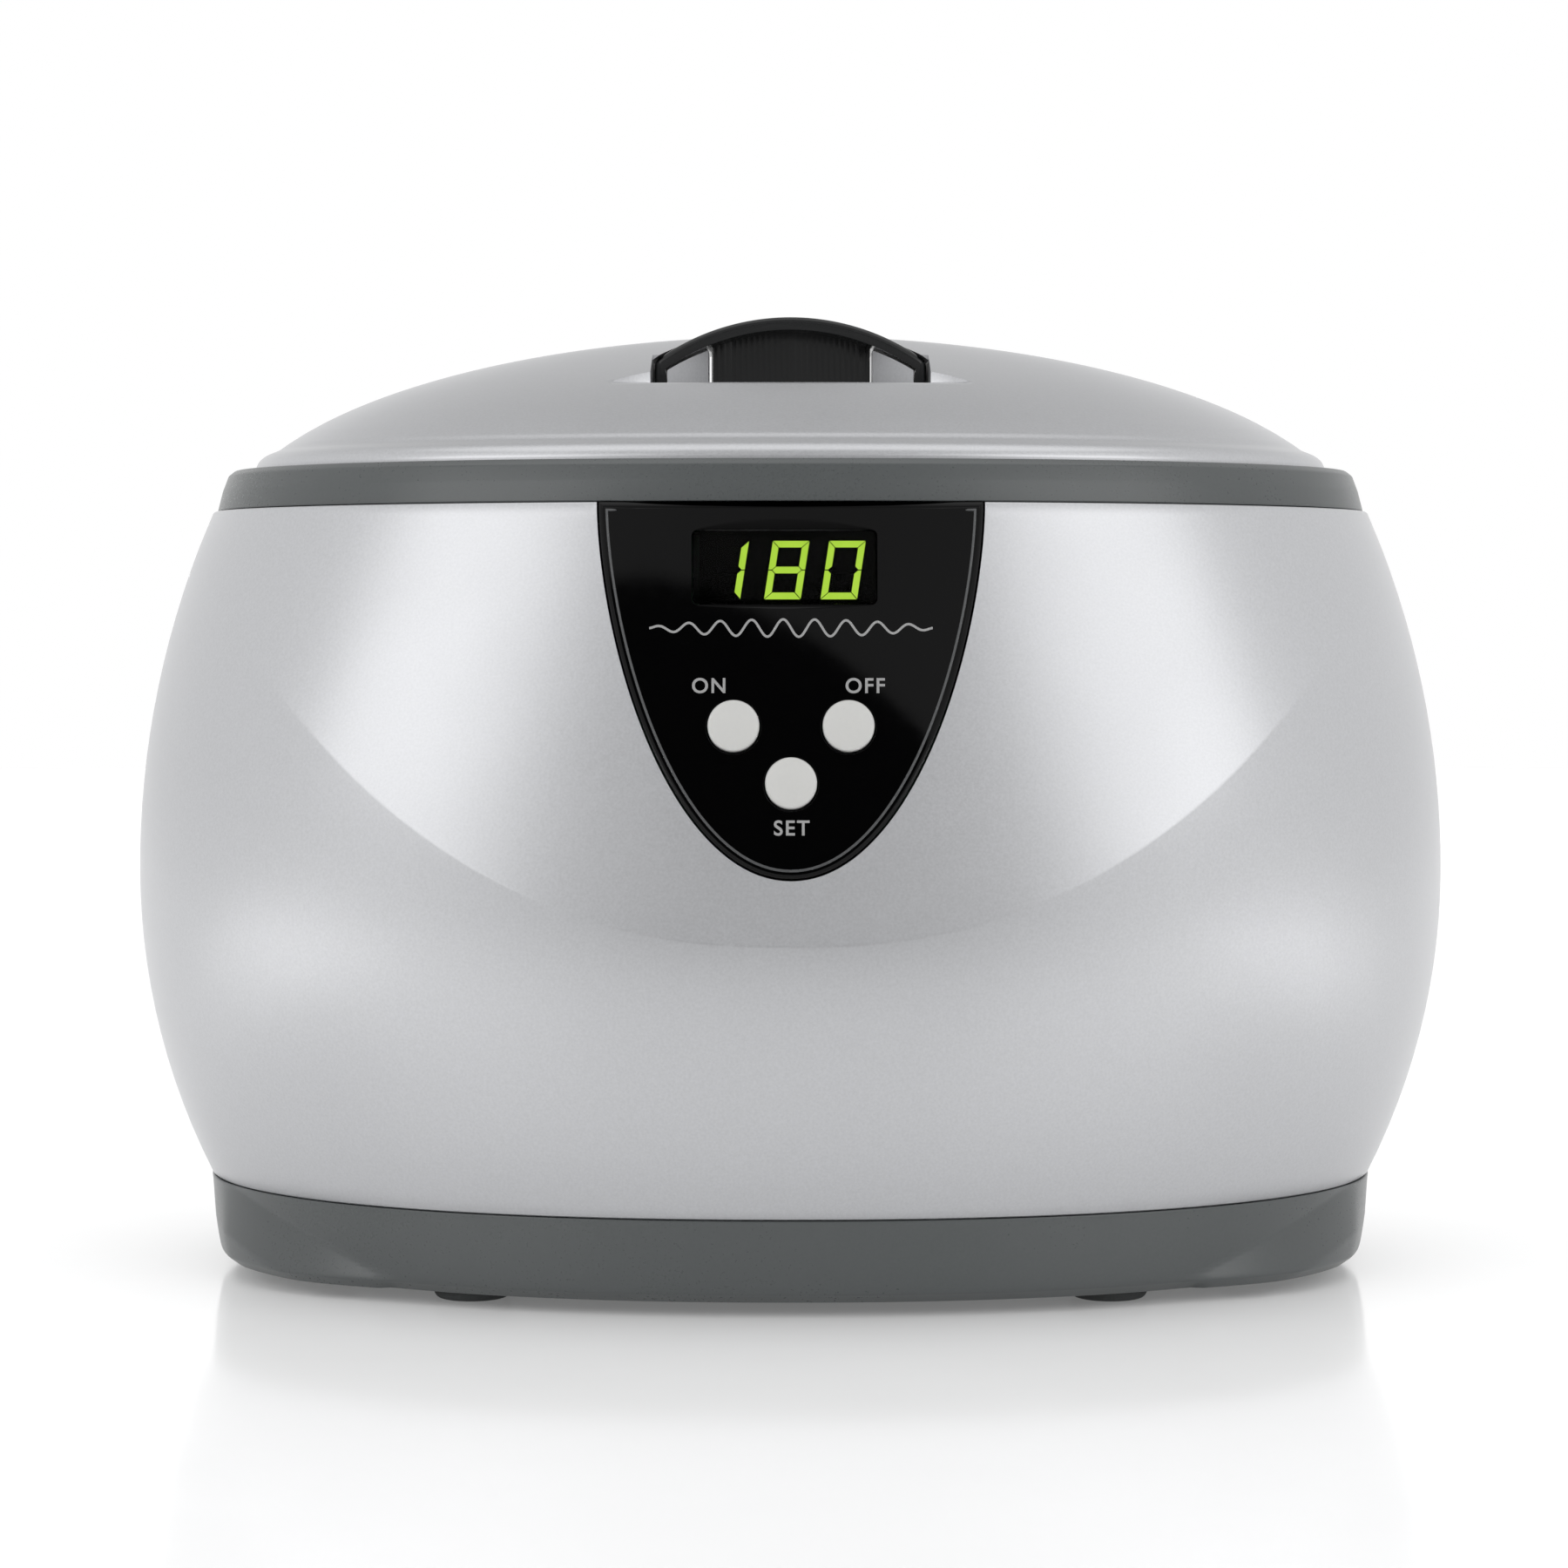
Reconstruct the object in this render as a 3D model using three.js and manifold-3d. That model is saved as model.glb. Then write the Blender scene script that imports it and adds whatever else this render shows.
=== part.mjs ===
// Tabletop ultrasonic cleaner with an oval steel tank, a lift-off lid and a key panel.
// Millimetres, +Z up, the front faces -Y, and the origin is on the table under the middle.
import * as THREE from "three";
import { mergeVertices } from "three/addons/utils/BufferGeometryUtils.js";
import Module from "manifold-3d";

const wasm = await Module();
wasm.setup();

// ---------------------------------------------------------------- driving dimensions

const SEGMENTS = 40; // facets round each oval shell
const ROUND = 16; // facets round a small turned piece
const GAP = 0.3; // clearance between pieces that touch

const BELLY_HALF = 103; // widest half-width of the barrel-shaped housing
const BELLY_Z = 62;
const UPPER_RADIUS = 141; // barrel arc above the belly
const LOWER_RADIUS = 107; // barrel arc below it
const OVAL_STEP = 29.7; // every oval is this much shallower, half for half, than it is wide
const OVAL_POWER = 2.15; // 2 is a true ellipse
const WALL = 2.4;

const FEET_TOP = 1.7;
const TRAY_BOTTOM = 2;
const TRAY_TOP = 14.4;
const HOUSING_BOTTOM = 14.7;
const HOUSING_TOP = 118.4;
const RIM_BOTTOM = 118.7;
const RIM_TOP = 124.8;
const LID_BOTTOM = 125.1;
const LID_CROWN = 146.6;
const DOME_RISE = 32.8; // semi-axes of the ellipse that the dome follows
const DOME_REACH = 90;

// The flat face above the smile-shaped crease on the front.
const CREASE_LOW = 55.2; // height of the crease in the middle
const CREASE_RISE = 41;
const CREASE_REACH = 79; // half-width over which it rises that far
const CREASE_POWER = 2.2;

const TANK_MOUTH = 77.2; // half-width inside
const TANK_FLOOR = 71.4;
const TANK_SHEET = 0.8;

const FOOT_X = 47.7;
const FOOT_Y = 41;
const SCREW_X = 70;
const SCREW_Y = 29;

const INLET_X = -35;
const INLET_Z = 32;
const PIN_SPREAD = 8.6; // between the inlet's two pins

const PANEL_Z = 91.5; // height of the panel group's origin
const PANEL_TIP = 64.6; // the panel runs from here up to the top of the housing
const PANEL_HALF = 27.75;
const PANEL_PROUD = 0.6;
const WINDOW = { width: 26.7, height: 11, y: 17.7 };
const BUTTON_RADIUS = 3.7;
const BUTTONS = { on: [-8.2, -5.45], off: [8.2, -5.45], set: [0, -13.7] };

const BOARD = { x: 50, z: 12, width: 46, depth: 48, thick: 1.6 };

// The finger recess in the lid and the grip that bridges it.
const RECESS_FLOOR = 137.4;
const WELL_FLOOR = 133.5;
const SCOOP = { y: 33, halfX: 29.9, halfY: 14.1 };
const GRIP = { halfX: 21.2, halfY: 12.5, radius: 36.1, axisZ: 112.6, sheet: 2 };
const WEB = { halfX: 12.6, halfY: 3.8 };
const CHEEK_Y = 6.8; // half-depth of the cheeks beside the web

// ---------------------------------------------------------------- solids

function toSolid(geometry) {
  const bare = new THREE.BufferGeometry();
  bare.setAttribute("position", geometry.getAttribute("position").clone());
  if (geometry.index) bare.setIndex(geometry.index.clone());
  const merged = mergeVertices(bare, 1e-4);
  const index = merged.index.array;
  const kept = [];
  for (let i = 0; i < index.length; i += 3) {
    const [a, b, c] = [index[i], index[i + 1], index[i + 2]];
    if (a !== b && b !== c && c !== a) kept.push(a, b, c);
  }
  const vertProperties = Float32Array.from(merged.getAttribute("position").array);
  return new wasm.Manifold(
    new wasm.Mesh({ numProp: 3, vertProperties, triVerts: Uint32Array.from(kept) }),
  );
}

function toGeometry(solid) {
  const mesh = solid.getMesh();
  const positions = new Float32Array(mesh.numVert * 3);
  for (let i = 0; i < mesh.numVert; i++) {
    positions.set(mesh.vertProperties.subarray(i * mesh.numProp, i * mesh.numProp + 3), i * 3);
  }
  const geometry = new THREE.BufferGeometry();
  geometry.setAttribute("position", new THREE.BufferAttribute(positions, 3));
  geometry.setIndex(new THREE.BufferAttribute(Uint32Array.from(mesh.triVerts), 1));
  geometry.computeVertexNormals();
  return geometry;
}

const join = (first, ...rest) =>
  toGeometry(rest.reduce((whole, g) => whole.add(toSolid(g)), toSolid(first)));
const cut = (first, ...rest) =>
  toGeometry(rest.reduce((whole, g) => whole.subtract(toSolid(g)), toSolid(first)));
const common = (a, b) => toGeometry(toSolid(a).intersect(toSolid(b)));

// A profile of [radius, height] points, up the outside and down the inside, turned about Z.
function turned(profile, segments = ROUND) {
  const points = profile.map(([r, z]) => new THREE.Vector2(r, z));
  if (profile[0][0] > 0 || profile.at(-1)[0] > 0) points.push(points[0].clone());
  return new THREE.LatheGeometry(points, segments).rotateX(Math.PI / 2);
}

function disc(radius, low, high, segments = ROUND) {
  return turned([[0, low], [radius, low], [radius, high], [0, high]], segments);
}

// A box from its lowest and highest corners.
function box(low, high) {
  const size = high.map((h, i) => h - low[i]);
  const middle = high.map((h, i) => (h + low[i]) / 2);
  return new THREE.BoxGeometry(...size).translate(...middle);
}

// An outline in X and Z, swept along Y from one depth to another.
function sweptAlongY(shape, from, to, curveSegments = 10) {
  return new THREE.ExtrudeGeometry(shape, { depth: to - from, bevelEnabled: false, curveSegments })
    .rotateX(Math.PI / 2)
    .translate(0, to, 0);
}

function outline(points) {
  return new THREE.Shape(points.map(([x, y]) => new THREE.Vector2(x, y)));
}

// ---------------------------------------------------------------- the oval plan

const signedPower = (value, power) => Math.sign(value) * Math.abs(value) ** power;

// The half-depth of the oval whose half-width is r. Inside `turn` it shrinks by a power instead.
function ovalDepth(r, turn, power) {
  if (r >= turn) return r - OVAL_STEP;
  return (turn - OVAL_STEP) * (r / turn) ** power;
}

function oval(geometry, { turn = 55, power = 1, face = false } = {}) {
  const position = geometry.getAttribute("position");
  for (let i = 0; i < position.count; i++) {
    const [x, y, z] = [position.getX(i), position.getY(i), position.getZ(i)];
    const r = Math.hypot(x, y);
    if (r < 1e-6) continue;
    const set = face && y < 0 ? faceSetback(x, z) : 0;
    const half = r - Math.min(set, r);
    const around = [x / r, y / r].map((v) => (Math.abs(v) < 1e-6 ? 0 : v));
    position.setX(i, half * signedPower(around[0], 2 / OVAL_POWER));
    position.setY(i, ovalDepth(half, turn, power) * signedPower(around[1], 2 / OVAL_POWER));
  }
  return geometry;
}

// ---------------------------------------------------------------- the barrel

function barrel(z) {
  const radius = z > BELLY_Z ? UPPER_RADIUS : LOWER_RADIUS;
  return BELLY_HALF - radius + Math.sqrt(radius ** 2 - (z - BELLY_Z) ** 2);
}

const creaseHeight = (x) =>
  CREASE_LOW + CREASE_RISE * Math.abs(x / CREASE_REACH) ** CREASE_POWER;

// How far the straight face above the crease lies behind the barrel's arc.
function faceSetback(x, z) {
  const low = creaseHeight(x);
  if (z <= low || low >= HOUSING_TOP) return 0;
  const share = Math.min((z - low) / (HOUSING_TOP - low), 1);
  const straight = THREE.MathUtils.lerp(barrel(low), barrel(HOUSING_TOP), share);
  return Math.max(barrel(Math.min(z, HOUSING_TOP)) - straight, 0);
}

function heights(from, to, steps) {
  return Array.from({ length: steps + 1 }, (_, i) => from + ((to - from) * i) / steps);
}

function barrelProfile(from, to, steps, offset) {
  return heights(from, to, steps).map((z) => [barrel(z) + offset, z]);
}

// The whole barrel as one solid, grown or shrunk all over.
function barrelSolid(offset) {
  const side = barrelProfile(HOUSING_BOTTOM, HOUSING_TOP, 8, offset);
  const profile = [[0, HOUSING_BOTTOM], ...side, [0, HOUSING_TOP]];
  return oval(turned(profile, SEGMENTS), { face: true });
}

function screwColumns(radius, low, high) {
  return [-1, 1].flatMap((sx) =>
    [-1, 1].map((sy) => disc(radius, low, high, 12).translate(sx * SCREW_X, sy * SCREW_Y, 0)));
}

// Ribs that carry the screw bosses from the housing's wall, above the tray's rim.
function bossRibs(low, high) {
  return [-1, 1].flatMap((sx) => [-1, 1].map((sy) =>
    box([0, -1.5, low], [16, 1.5, high])
      .rotateZ(Math.atan2(sy * SCREW_Y, sx * SCREW_X))
      .translate(sx * SCREW_X, sy * SCREW_Y, 0)));
}

// ---------------------------------------------------------------- the control panel's shield

// The shield's half-width falls off towards its round tip.
function shield(grow) {
  const height = HOUSING_TOP - PANEL_TIP;
  const right = heights(0, 90, 10).map((degrees) => {
    const angle = THREE.MathUtils.degToRad(degrees);
    const half = PANEL_HALF * Math.cos(angle) ** 0.98;
    return [half + grow * Math.cos(angle), HOUSING_TOP - height * Math.sin(angle) ** 1.2];
  });
  right[0][1] += grow;
  right.at(-1)[0] = 0;
  right.at(-1)[1] -= grow;
  const left = right.slice(0, -1).reverse().map(([x, z]) => [-x, z]);
  return outline([...right, ...left].reverse());
}

const leanAngle = Math.atan(
  (barrel(CREASE_LOW) - barrel(HOUSING_TOP)) / (HOUSING_TOP - CREASE_LOW));
const panelDepth = barrel(PANEL_Z) - faceSetback(0, PANEL_Z) - OVAL_STEP;

// Everything on the panel stands in this group: X right, Y up the face, Z out of it.
const panelGroup = new THREE.Group();
panelGroup.position.set(0, -panelDepth, PANEL_Z);
panelGroup.rotation.x = Math.PI / 2 - leanAngle;
panelGroup.updateMatrixWorld(true);
const onPanel = (geometry) => geometry.applyMatrix4(panelGroup.matrixWorld);

// ---------------------------------------------------------------- shells

function housingShell() {
  const outer = barrelProfile(HOUSING_BOTTOM, HOUSING_TOP, 8, 0);
  const inner = barrelProfile(HOUSING_BOTTOM, HOUSING_TOP, 5, -WALL).reverse();
  const shell = oval(turned([...outer, ...inner], SEGMENTS), { face: true });
  const bosses = [...screwColumns(4.2, 8.8, 32), ...bossRibs(20, 32)];
  const [x, z] = [INLET_X, INLET_Z];
  const wellBlock = box([x - 14.5, 56.5, z - 10], [x + 14.5, 90, z + 10]);
  const inside = barrelSolid(-0.6);
  const added = [...bosses, wellBlock].map((piece) => common(piece, inside));
  const bossTips = screwColumns(4.2, 8.8, HOUSING_BOTTOM + 2);
  const holes = screwColumns(1.8, 0, 27);
  const well = box([x - 12.2, 59, z - 7.7], [x + 12.2, 95, z + 7.7]);
  const inletHole = box([x - 8.8, 50, z - 5.3], [x + 8.8, 65, z + 5.3]);
  const panelHole = sweptAlongY(shield(GAP), -95, -45);
  return cut(join(shell, ...added, ...bossTips), ...holes, well, inletHole, panelHole);
}

function rimRing() {
  const ring = oval(turned([
    [86.2, 112], [88.5, 112], [88.5, RIM_BOTTOM], [90.6, RIM_BOTTOM], [89.8, 121.6],
    [88.9, 124], [87.9, RIM_TOP], [83.1, RIM_TOP], [83.1, 122.3], [79.6, 122.3],
    [79.6, 119.8], [86.2, 119.8],
  ], SEGMENTS));
  const panelRoom = box([-31, -90, 100], [31, -40, HOUSING_TOP - GAP]);
  return cut(ring, panelRoom);
}

function baseTray() {
  const shell = oval(turned([
    [0, TRAY_BOTTOM], [88.4, TRAY_BOTTOM], [90.4, 4.3], [91.2, 6.6], [91.7, 10.6],
    [92, TRAY_TOP], [89.3, TRAY_TOP], [89.2, 19.5], [87, 19.5], [86.8, 6.4], [85.6, 5.4], [0, 5.4],
  ], SEGMENTS));
  const pads = screwColumns(5.2, 4.5, 8.4);
  const posts = [-1, 1].flatMap((sx) => [-1, 1].map((sy) =>
    disc(2.4, 4.5, BOARD.z - GAP, 10)
      .translate(BOARD.x + sx * (BOARD.width / 2 - 3.4), sy * (BOARD.depth / 2 - 3.4), 0)));
  const bossRoom = screwColumns(4.9, 8.4, 25);
  const bores = screwColumns(1.8, 0, 12);
  const headRoom = screwColumns(3.6, 0, 6);
  const feet = footPlaces().map(([x, y]) => disc(2.6, 0, 9, 12).translate(x, y, 0));
  const vents = heights(-62, -30, 4).map((x) => box([x - 1.3, -14, 0], [x + 1.3, 14, 9]));
  return cut(join(shell, ...pads, ...posts), ...bossRoom, ...bores, ...headRoom, ...feet, ...vents);
}

function footPlaces() {
  return [[-FOOT_X, -FOOT_Y], [FOOT_X, -FOOT_Y], [-FOOT_X, FOOT_Y], [FOOT_X, FOOT_Y]];
}

function foot() {
  return turned([
    [0, 0], [5.2, 0], [5.8, 0.6], [5.8, FEET_TOP], [2.2, FEET_TOP], [2.2, 5.8],
    [3.2, 5.8], [2.6, 7.6], [0, 7.6],
  ], 12);
}

function baseScrew() {
  return turned([[0, 3.4], [3, 3.4], [3, 5.6], [1.4, 5.6], [1.4, 22], [0, 23]], 12);
}

// ---------------------------------------------------------------- tank and transducer

function tank() {
  const flange = 124.2;
  const sheet = TANK_SHEET;
  const corner = 9;
  const foot = 73.5; // half-width where the corner bend starts
  const bend = (radius) => heights(0, 90, 3).map((a) => {
    const angle = THREE.MathUtils.degToRad(a);
    return [
      foot - corner + radius * Math.sin(angle),
      TANK_FLOOR + corner - radius * Math.cos(angle),
    ];
  });
  const outside = [
    [0, TANK_FLOOR - sheet], ...bend(corner + sheet), [TANK_MOUTH + sheet, 121.4],
    [79, flange - sheet], [82.6, flange - sheet],
  ];
  const inside = [
    [82.6, flange], [78.6, flange], [TANK_MOUTH, 122.6], ...bend(corner).reverse(), [0, TANK_FLOOR],
  ];
  return oval(turned([...outside, ...inside], SEGMENTS));
}

function tankGasket() {
  return oval(turned([[79.9, 122.6], [82.5, 122.6], [82.5, 123.1], [79.9, 123.1]], SEGMENTS));
}

// The clamped ring stack under the tank, from its glued face down to the bolt's head.
const STACK = { top: 70.3, faceEnd: 48.6, disc: 5, tab: 0.4, outer: 19, bore: 5 };

function frontMass() {
  return turned([
    [0, STACK.top], [0, 60], [4.4, 60], [4.4, STACK.faceEnd], [STACK.outer, STACK.faceEnd],
    [STACK.outer, 56], [22, 68], [22, STACK.top],
  ], 20);
}

function stackRing(top, thick) {
  const low = top - thick;
  const { outer, bore } = STACK;
  return turned([[bore, low], [outer, low], [outer, top], [bore, top]], 20);
}

function electrode(top, angle) {
  const tab = box([15, -2, top - STACK.tab], [25, 2, top]);
  const hole = box([20.8, -0.8, top - 2], [22.4, 0.8, top + 2]);
  return cut(join(stackRing(top, STACK.tab), tab), hole).rotateZ(angle);
}

const stackTops = {
  electrode_upper: STACK.faceEnd - GAP,
  piezo_ring_upper: STACK.faceEnd - 2 * GAP - STACK.tab,
};
stackTops.electrode_lower = stackTops.piezo_ring_upper - STACK.disc - GAP;
stackTops.piezo_ring_lower = stackTops.electrode_lower - STACK.tab - GAP;
stackTops.back_mass = stackTops.piezo_ring_lower - STACK.disc - GAP;

function stackBolt() {
  const seat = stackTops.back_mass - 15 - GAP;
  const shank = turned([[0, seat - 1], [4, seat - 1], [4, 58], [0, 59]], 16);
  const head = disc(6.5, seat - 7.5, seat, 6);
  const socket = disc(3, seat - 9, seat - 3.5, 6);
  return cut(join(shank, head), socket);
}

// ---------------------------------------------------------------- panel pieces

function controlPanel() {
  const prism = sweptAlongY(shield(0), -95, -45);
  const skin = cut(common(prism, barrelSolid(PANEL_PROUD)), barrelSolid(-1.6));
  const posts = [[-19.5, 21], [19.5, 21]].map(([x, y]) =>
    onPanel(disc(2.2, -7.7, -1.2, 10).translate(x, y, 0)));
  const { width, height, y } = WINDOW;
  const windowHole = onPanel(box([-width / 2, y - height / 2, -9], [width / 2, y + height / 2, 9]));
  const keyHoles = Object.values(BUTTONS).map(([bx, by]) =>
    onPanel(disc(BUTTON_RADIUS + GAP, -9, 9, 16).translate(bx, by, 0)));
  return cut(join(skin, ...posts), windowHole, ...keyHoles);
}

function displayWindow() {
  const { width, height, y } = WINDOW;
  const [hx, hy] = [width / 2 - 0.25, height / 2 - 0.25];
  return box([-hx, y - hy, -1.6], [hx, y + hy, 0.1]);
}

function buttonCap([x, y]) {
  const r = BUTTON_RADIUS;
  return turned([
    [0, -3], [1.7, -3], [1.7, -1.2], [r, -1.2], [r, 1.1], [r - 0.5, 1.6], [0, 1.8],
  ], ROUND).translate(x, y, 0);
}

function tactSwitch([x, y]) {
  const body = box([x - 3, y - 3, -7.7], [x + 3, y + 3, -4.8]);
  return join(body, disc(1.7, -5, -4.2, 10).translate(x, y, 0));
}

function displayBoard() {
  return cut(box([-23, -20, -9.6], [23, 24, -8]), disc(1.6, -12, -5, 10).translate(-19.5, -17, 0),
    disc(1.6, -12, -5, 10).translate(19.5, -17, 0));
}

function panelScrew(x) {
  return turned([[0, -11.6], [2.2, -11.6], [2.2, -9.9], [0, -9.9]], 12).translate(x, 21, 0);
}

// ---------------------------------------------------------------- driver electronics

function ferriteTransformer() {
  const core = box([-10, -7.5, 0], [10, 7.5, 5]);
  const top = core.clone().translate(0, 0, 12.4);
  const legs = [-1, 1].map((s) => box([s * 8 - 2, -7.5, 4], [s * 8 + 2, 7.5, 14]));
  const winding = disc(5.6, 4, 14, 14);
  return join(core, top, ...legs, winding).translate(43.5, -14, 14);
}

function resonanceInductor() {
  return turned([
    [0, 0], [7, 0], [7, 2], [5.4, 2.6], [5.4, 11.4], [7, 12], [7, 14], [0, 14],
  ], 14).translate(62, -14, 14);
}

function electrolyticCapacitor() {
  return turned([[0, 0], [5, 0], [5, 15.4], [4.4, 16.6], [0, 16.6]], 14).translate(33.6, 9.5, 14);
}

function heatsink() {
  const plate = box([40, 19, 14], [69, 21, 36]);
  const fins = heights(42, 67, 4).map((x) => box([x - 0.7, 20, 14], [x + 0.7, 23.2, 36]));
  return join(plate, ...fins);
}

function powerTransistor(x) {
  const body = box([x - 5, 14.4, 17], [x + 5, 18.7, 26]);
  const tab = box([x - 5, 17.4, 25], [x + 5, 18.7, 33]);
  const legs = [-2.5, 0, 2.5].map((dx) => box([x + dx - 0.5, 16, 13.9], [x + dx + 0.5, 16.7, 18]));
  return join(body, tab, ...legs);
}

function fuse() {
  const x = 63;
  const glass = disc(2.3, -10, 10, 12).rotateY(Math.PI / 2).translate(x, -3.3, 17.4);
  const caps = [-1, 1].map((s) =>
    disc(2.7, -2.6, 2.6, 12).rotateY(Math.PI / 2).translate(x + s * 7.6, -3.3, 17.4));
  const clips = [-1, 1].map((s) => box([x + s * 7.6 - 1, -5, 14], [x + s * 7.6 + 1, -1.6, 17]));
  return join(glass, ...caps, ...clips);
}

function driverBoard() {
  const { x, z, width, depth, thick } = BOARD;
  const plate = box([x - width / 2, -depth / 2, z], [x + width / 2, depth / 2, z + thick]);
  const lead = disc(0.9, z - 4, z + 4, 8).translate(x + width / 2 - 8, 21.8, 0);
  return cut(plate, lead);
}

// ---------------------------------------------------------------- power inlet and wiring

function powerInlet() {
  const flange = box([-11.8, 59.4, -7.2], [11.8, 61.4, 7.2]);
  const body = box([-8.4, 44, -5], [8.4, 60, 5]);
  const lobes = [-1, 1].map((s) =>
    disc(3.9, 0, 20, 16).rotateX(-Math.PI / 2).translate((s * PIN_SPREAD) / 2, 49.5, 0));
  const waist = box([-PIN_SPREAD / 2, 49.5, -3.1], [PIN_SPREAD / 2, 69, 3.1]);
  const shaft = [-1, 1].map((s) =>
    disc(1.5, 0, 20, 12).rotateX(-Math.PI / 2).translate((s * PIN_SPREAD) / 2, 40, 0));
  return cut(join(flange, body), join(waist, ...lobes), ...shaft).translate(INLET_X, 0, INLET_Z);
}

function inletPin(side) {
  return turned([[0, 0], [1.2, 0], [1.2, 16], [0.7, 17], [0, 17]], 12)
    .rotateX(-Math.PI / 2)
    .translate(INLET_X + (side * PIN_SPREAD) / 2, 41.5, INLET_Z);
}

function wire(points, radius) {
  const path = new THREE.CatmullRomCurve3(points.map((p) => new THREE.Vector3(...p)));
  const section = new THREE.Shape().absarc(0, 0, radius, 0, Math.PI * 2);
  return new THREE.ExtrudeGeometry(section, { extrudePath: path, steps: 12, curveSegments: 3 });
}

function ribbon(points, width, thick) {
  const path = new THREE.CatmullRomCurve3(points.map((p) => new THREE.Vector3(...p)));
  const section = outline([
    [-thick / 2, -width / 2], [thick / 2, -width / 2], [thick / 2, width / 2], [-thick / 2, width / 2],
  ]);
  return new THREE.ExtrudeGeometry(section, { extrudePath: path, steps: 14 });
}

const inletTail = (side, y) => [INLET_X + (side * PIN_SPREAD) / 2, y, INLET_Z];
const wireRoutes = {
  mains_wire_live: [
    inletTail(1, 41), inletTail(1, 39.5), [-27, 35, 30], [-14, 33, 20],
    [10, 31, 13], [24, 26, 17], [29.5, 21, 21], [29.6, 18.6, 14.1],
  ],
  mains_wire_neutral: [
    inletTail(-1, 41), inletTail(-1, 39.5), [-37, 34, 26], [-18, 29, 13.5],
    [6, 26.5, 10], [18, 23, 19], [26, 18, 22], [29.6, 14.6, 14.1],
  ],
  transducer_wire_hot: [
    [26, 6.4, 48.1], [28.5, 5, 42], [30, -3, 30], [30.5, -2, 20], [29.6, 0.8, 14.1],
  ],
  transducer_wire_ground: [
    [25.6, -6.6, 42.1], [28, -8, 36], [29, -6, 26], [30, -3.6, 20], [29.6, -2.8, 14.1],
  ],
};

// ---------------------------------------------------------------- lid and basket

const domeHeight = (r) => LID_CROWN - DOME_RISE * (1 - Math.sqrt(1 - (r / DOME_REACH) ** 2));
const DOME_RADII = [79.8, 77, 70, 58, 42, 22];
const DOME_SHEET = 2.3;
const lidOval = (geometry) => oval(geometry, { turn: 80, power: 2 });

function lidOutside() {
  return [
    [84.6, LID_BOTTOM], [84.6, 125.8], [84.1, 126.7], [83.1, 127.2], [81.9, 127.5], [80.9, 127.9],
    ...DOME_RADII.map((r) => [r, domeHeight(r)]), [0, LID_CROWN],
  ];
}

function lidDome() {
  const inner = [64, 46, 24].map((r) => [r, domeHeight(r) - DOME_SHEET]);
  const profile = [
    [74.2, 122], [76.2, 122], [76.2, LID_BOTTOM], ...lidOutside(), [0, LID_CROWN - DOME_SHEET],
    ...inner.reverse(), [74.2, domeHeight(74.2) - DOME_SHEET],
  ];
  return lidOval(turned(profile, SEGMENTS));
}

// An arch in X and Z, concentric with the grip: straight sides below a round crown.
function gripArch(radius, half, low) {
  const turn = Math.asin(half / radius);
  const shape = new THREE.Shape();
  shape.moveTo(half, low);
  shape.lineTo(half, GRIP.axisZ + Math.sqrt(radius * radius - half * half));
  shape.absarc(0, GRIP.axisZ, radius, Math.PI / 2 - turn, Math.PI / 2 + turn, false);
  shape.lineTo(-half, low);
  return shape;
}

// Two oval scoops, the seat of the grip between them and the finger wells, grown by a wall.
function recessPieces(grow) {
  const floor = RECESS_FLOOR - grow;
  const bowl = [[0, floor], [0.92, floor], [1, floor + 1.6], [1, 160], [0, 160]];
  const scoops = [-1, 1].map((s) =>
    turned(bowl, 24).scale(SCOOP.halfX + grow, SCOOP.halfY + grow, 1).translate(0, s * SCOOP.y, 0));
  const [half, deep] = [GRIP.halfX + GAP + grow, GRIP.halfY + GAP + grow];
  const seat = sweptAlongY(gripArch(GRIP.radius + GAP + grow, half, floor), -deep, deep);
  const front = box([-half, -SCOOP.y, floor], [half, -GRIP.halfY, 160]);
  const rear = box([-half, GRIP.halfY, floor], [half, SCOOP.y, 160]);
  const well = box([-18.9 - grow, -20 - grow, WELL_FLOOR - grow], [18.9 + grow, 20 + grow, floor + 3]);
  return [...scoops, seat, front, rear, well];
}

// The flared cheeks left and right of the grip's web, up to the underside of its cap.
function gripCheeks() {
  const ceiling = disc(GRIP.radius - GRIP.sheet - GAP, -30, 30, 36)
    .rotateX(Math.PI / 2).translate(0, 0, GRIP.axisZ);
  return [-1, 1].map((s) => {
    const plan = [
      [s * (WEB.halfX + GAP), -CHEEK_Y], [s * 19.2, -GRIP.halfY + 0.6],
      [s * 19.2, GRIP.halfY - 0.6], [s * (WEB.halfX + GAP), CHEEK_Y],
    ];
    const prism = new THREE.ExtrudeGeometry(outline(s > 0 ? plan : plan.reverse()), {
      depth: 18, bevelEnabled: false,
    }).translate(0, 0, WELL_FLOOR - 1);
    return common(prism, ceiling);
  });
}

function lidShell() {
  const solidDome = lidOval(turned([[0, LID_BOTTOM], ...lidOutside()], SEGMENTS));
  const backing = common(join(...recessPieces(2.2)), solidDome);
  const hollow = cut(join(lidDome(), backing), ...recessPieces(0));
  const screwHoles = [-1, 1].map((s) => disc(1.6, 120, WELL_FLOOR + 2, 10).translate(s * 8, 0, 0));
  return cut(join(hollow, ...gripCheeks()), ...screwHoles);
}

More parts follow.
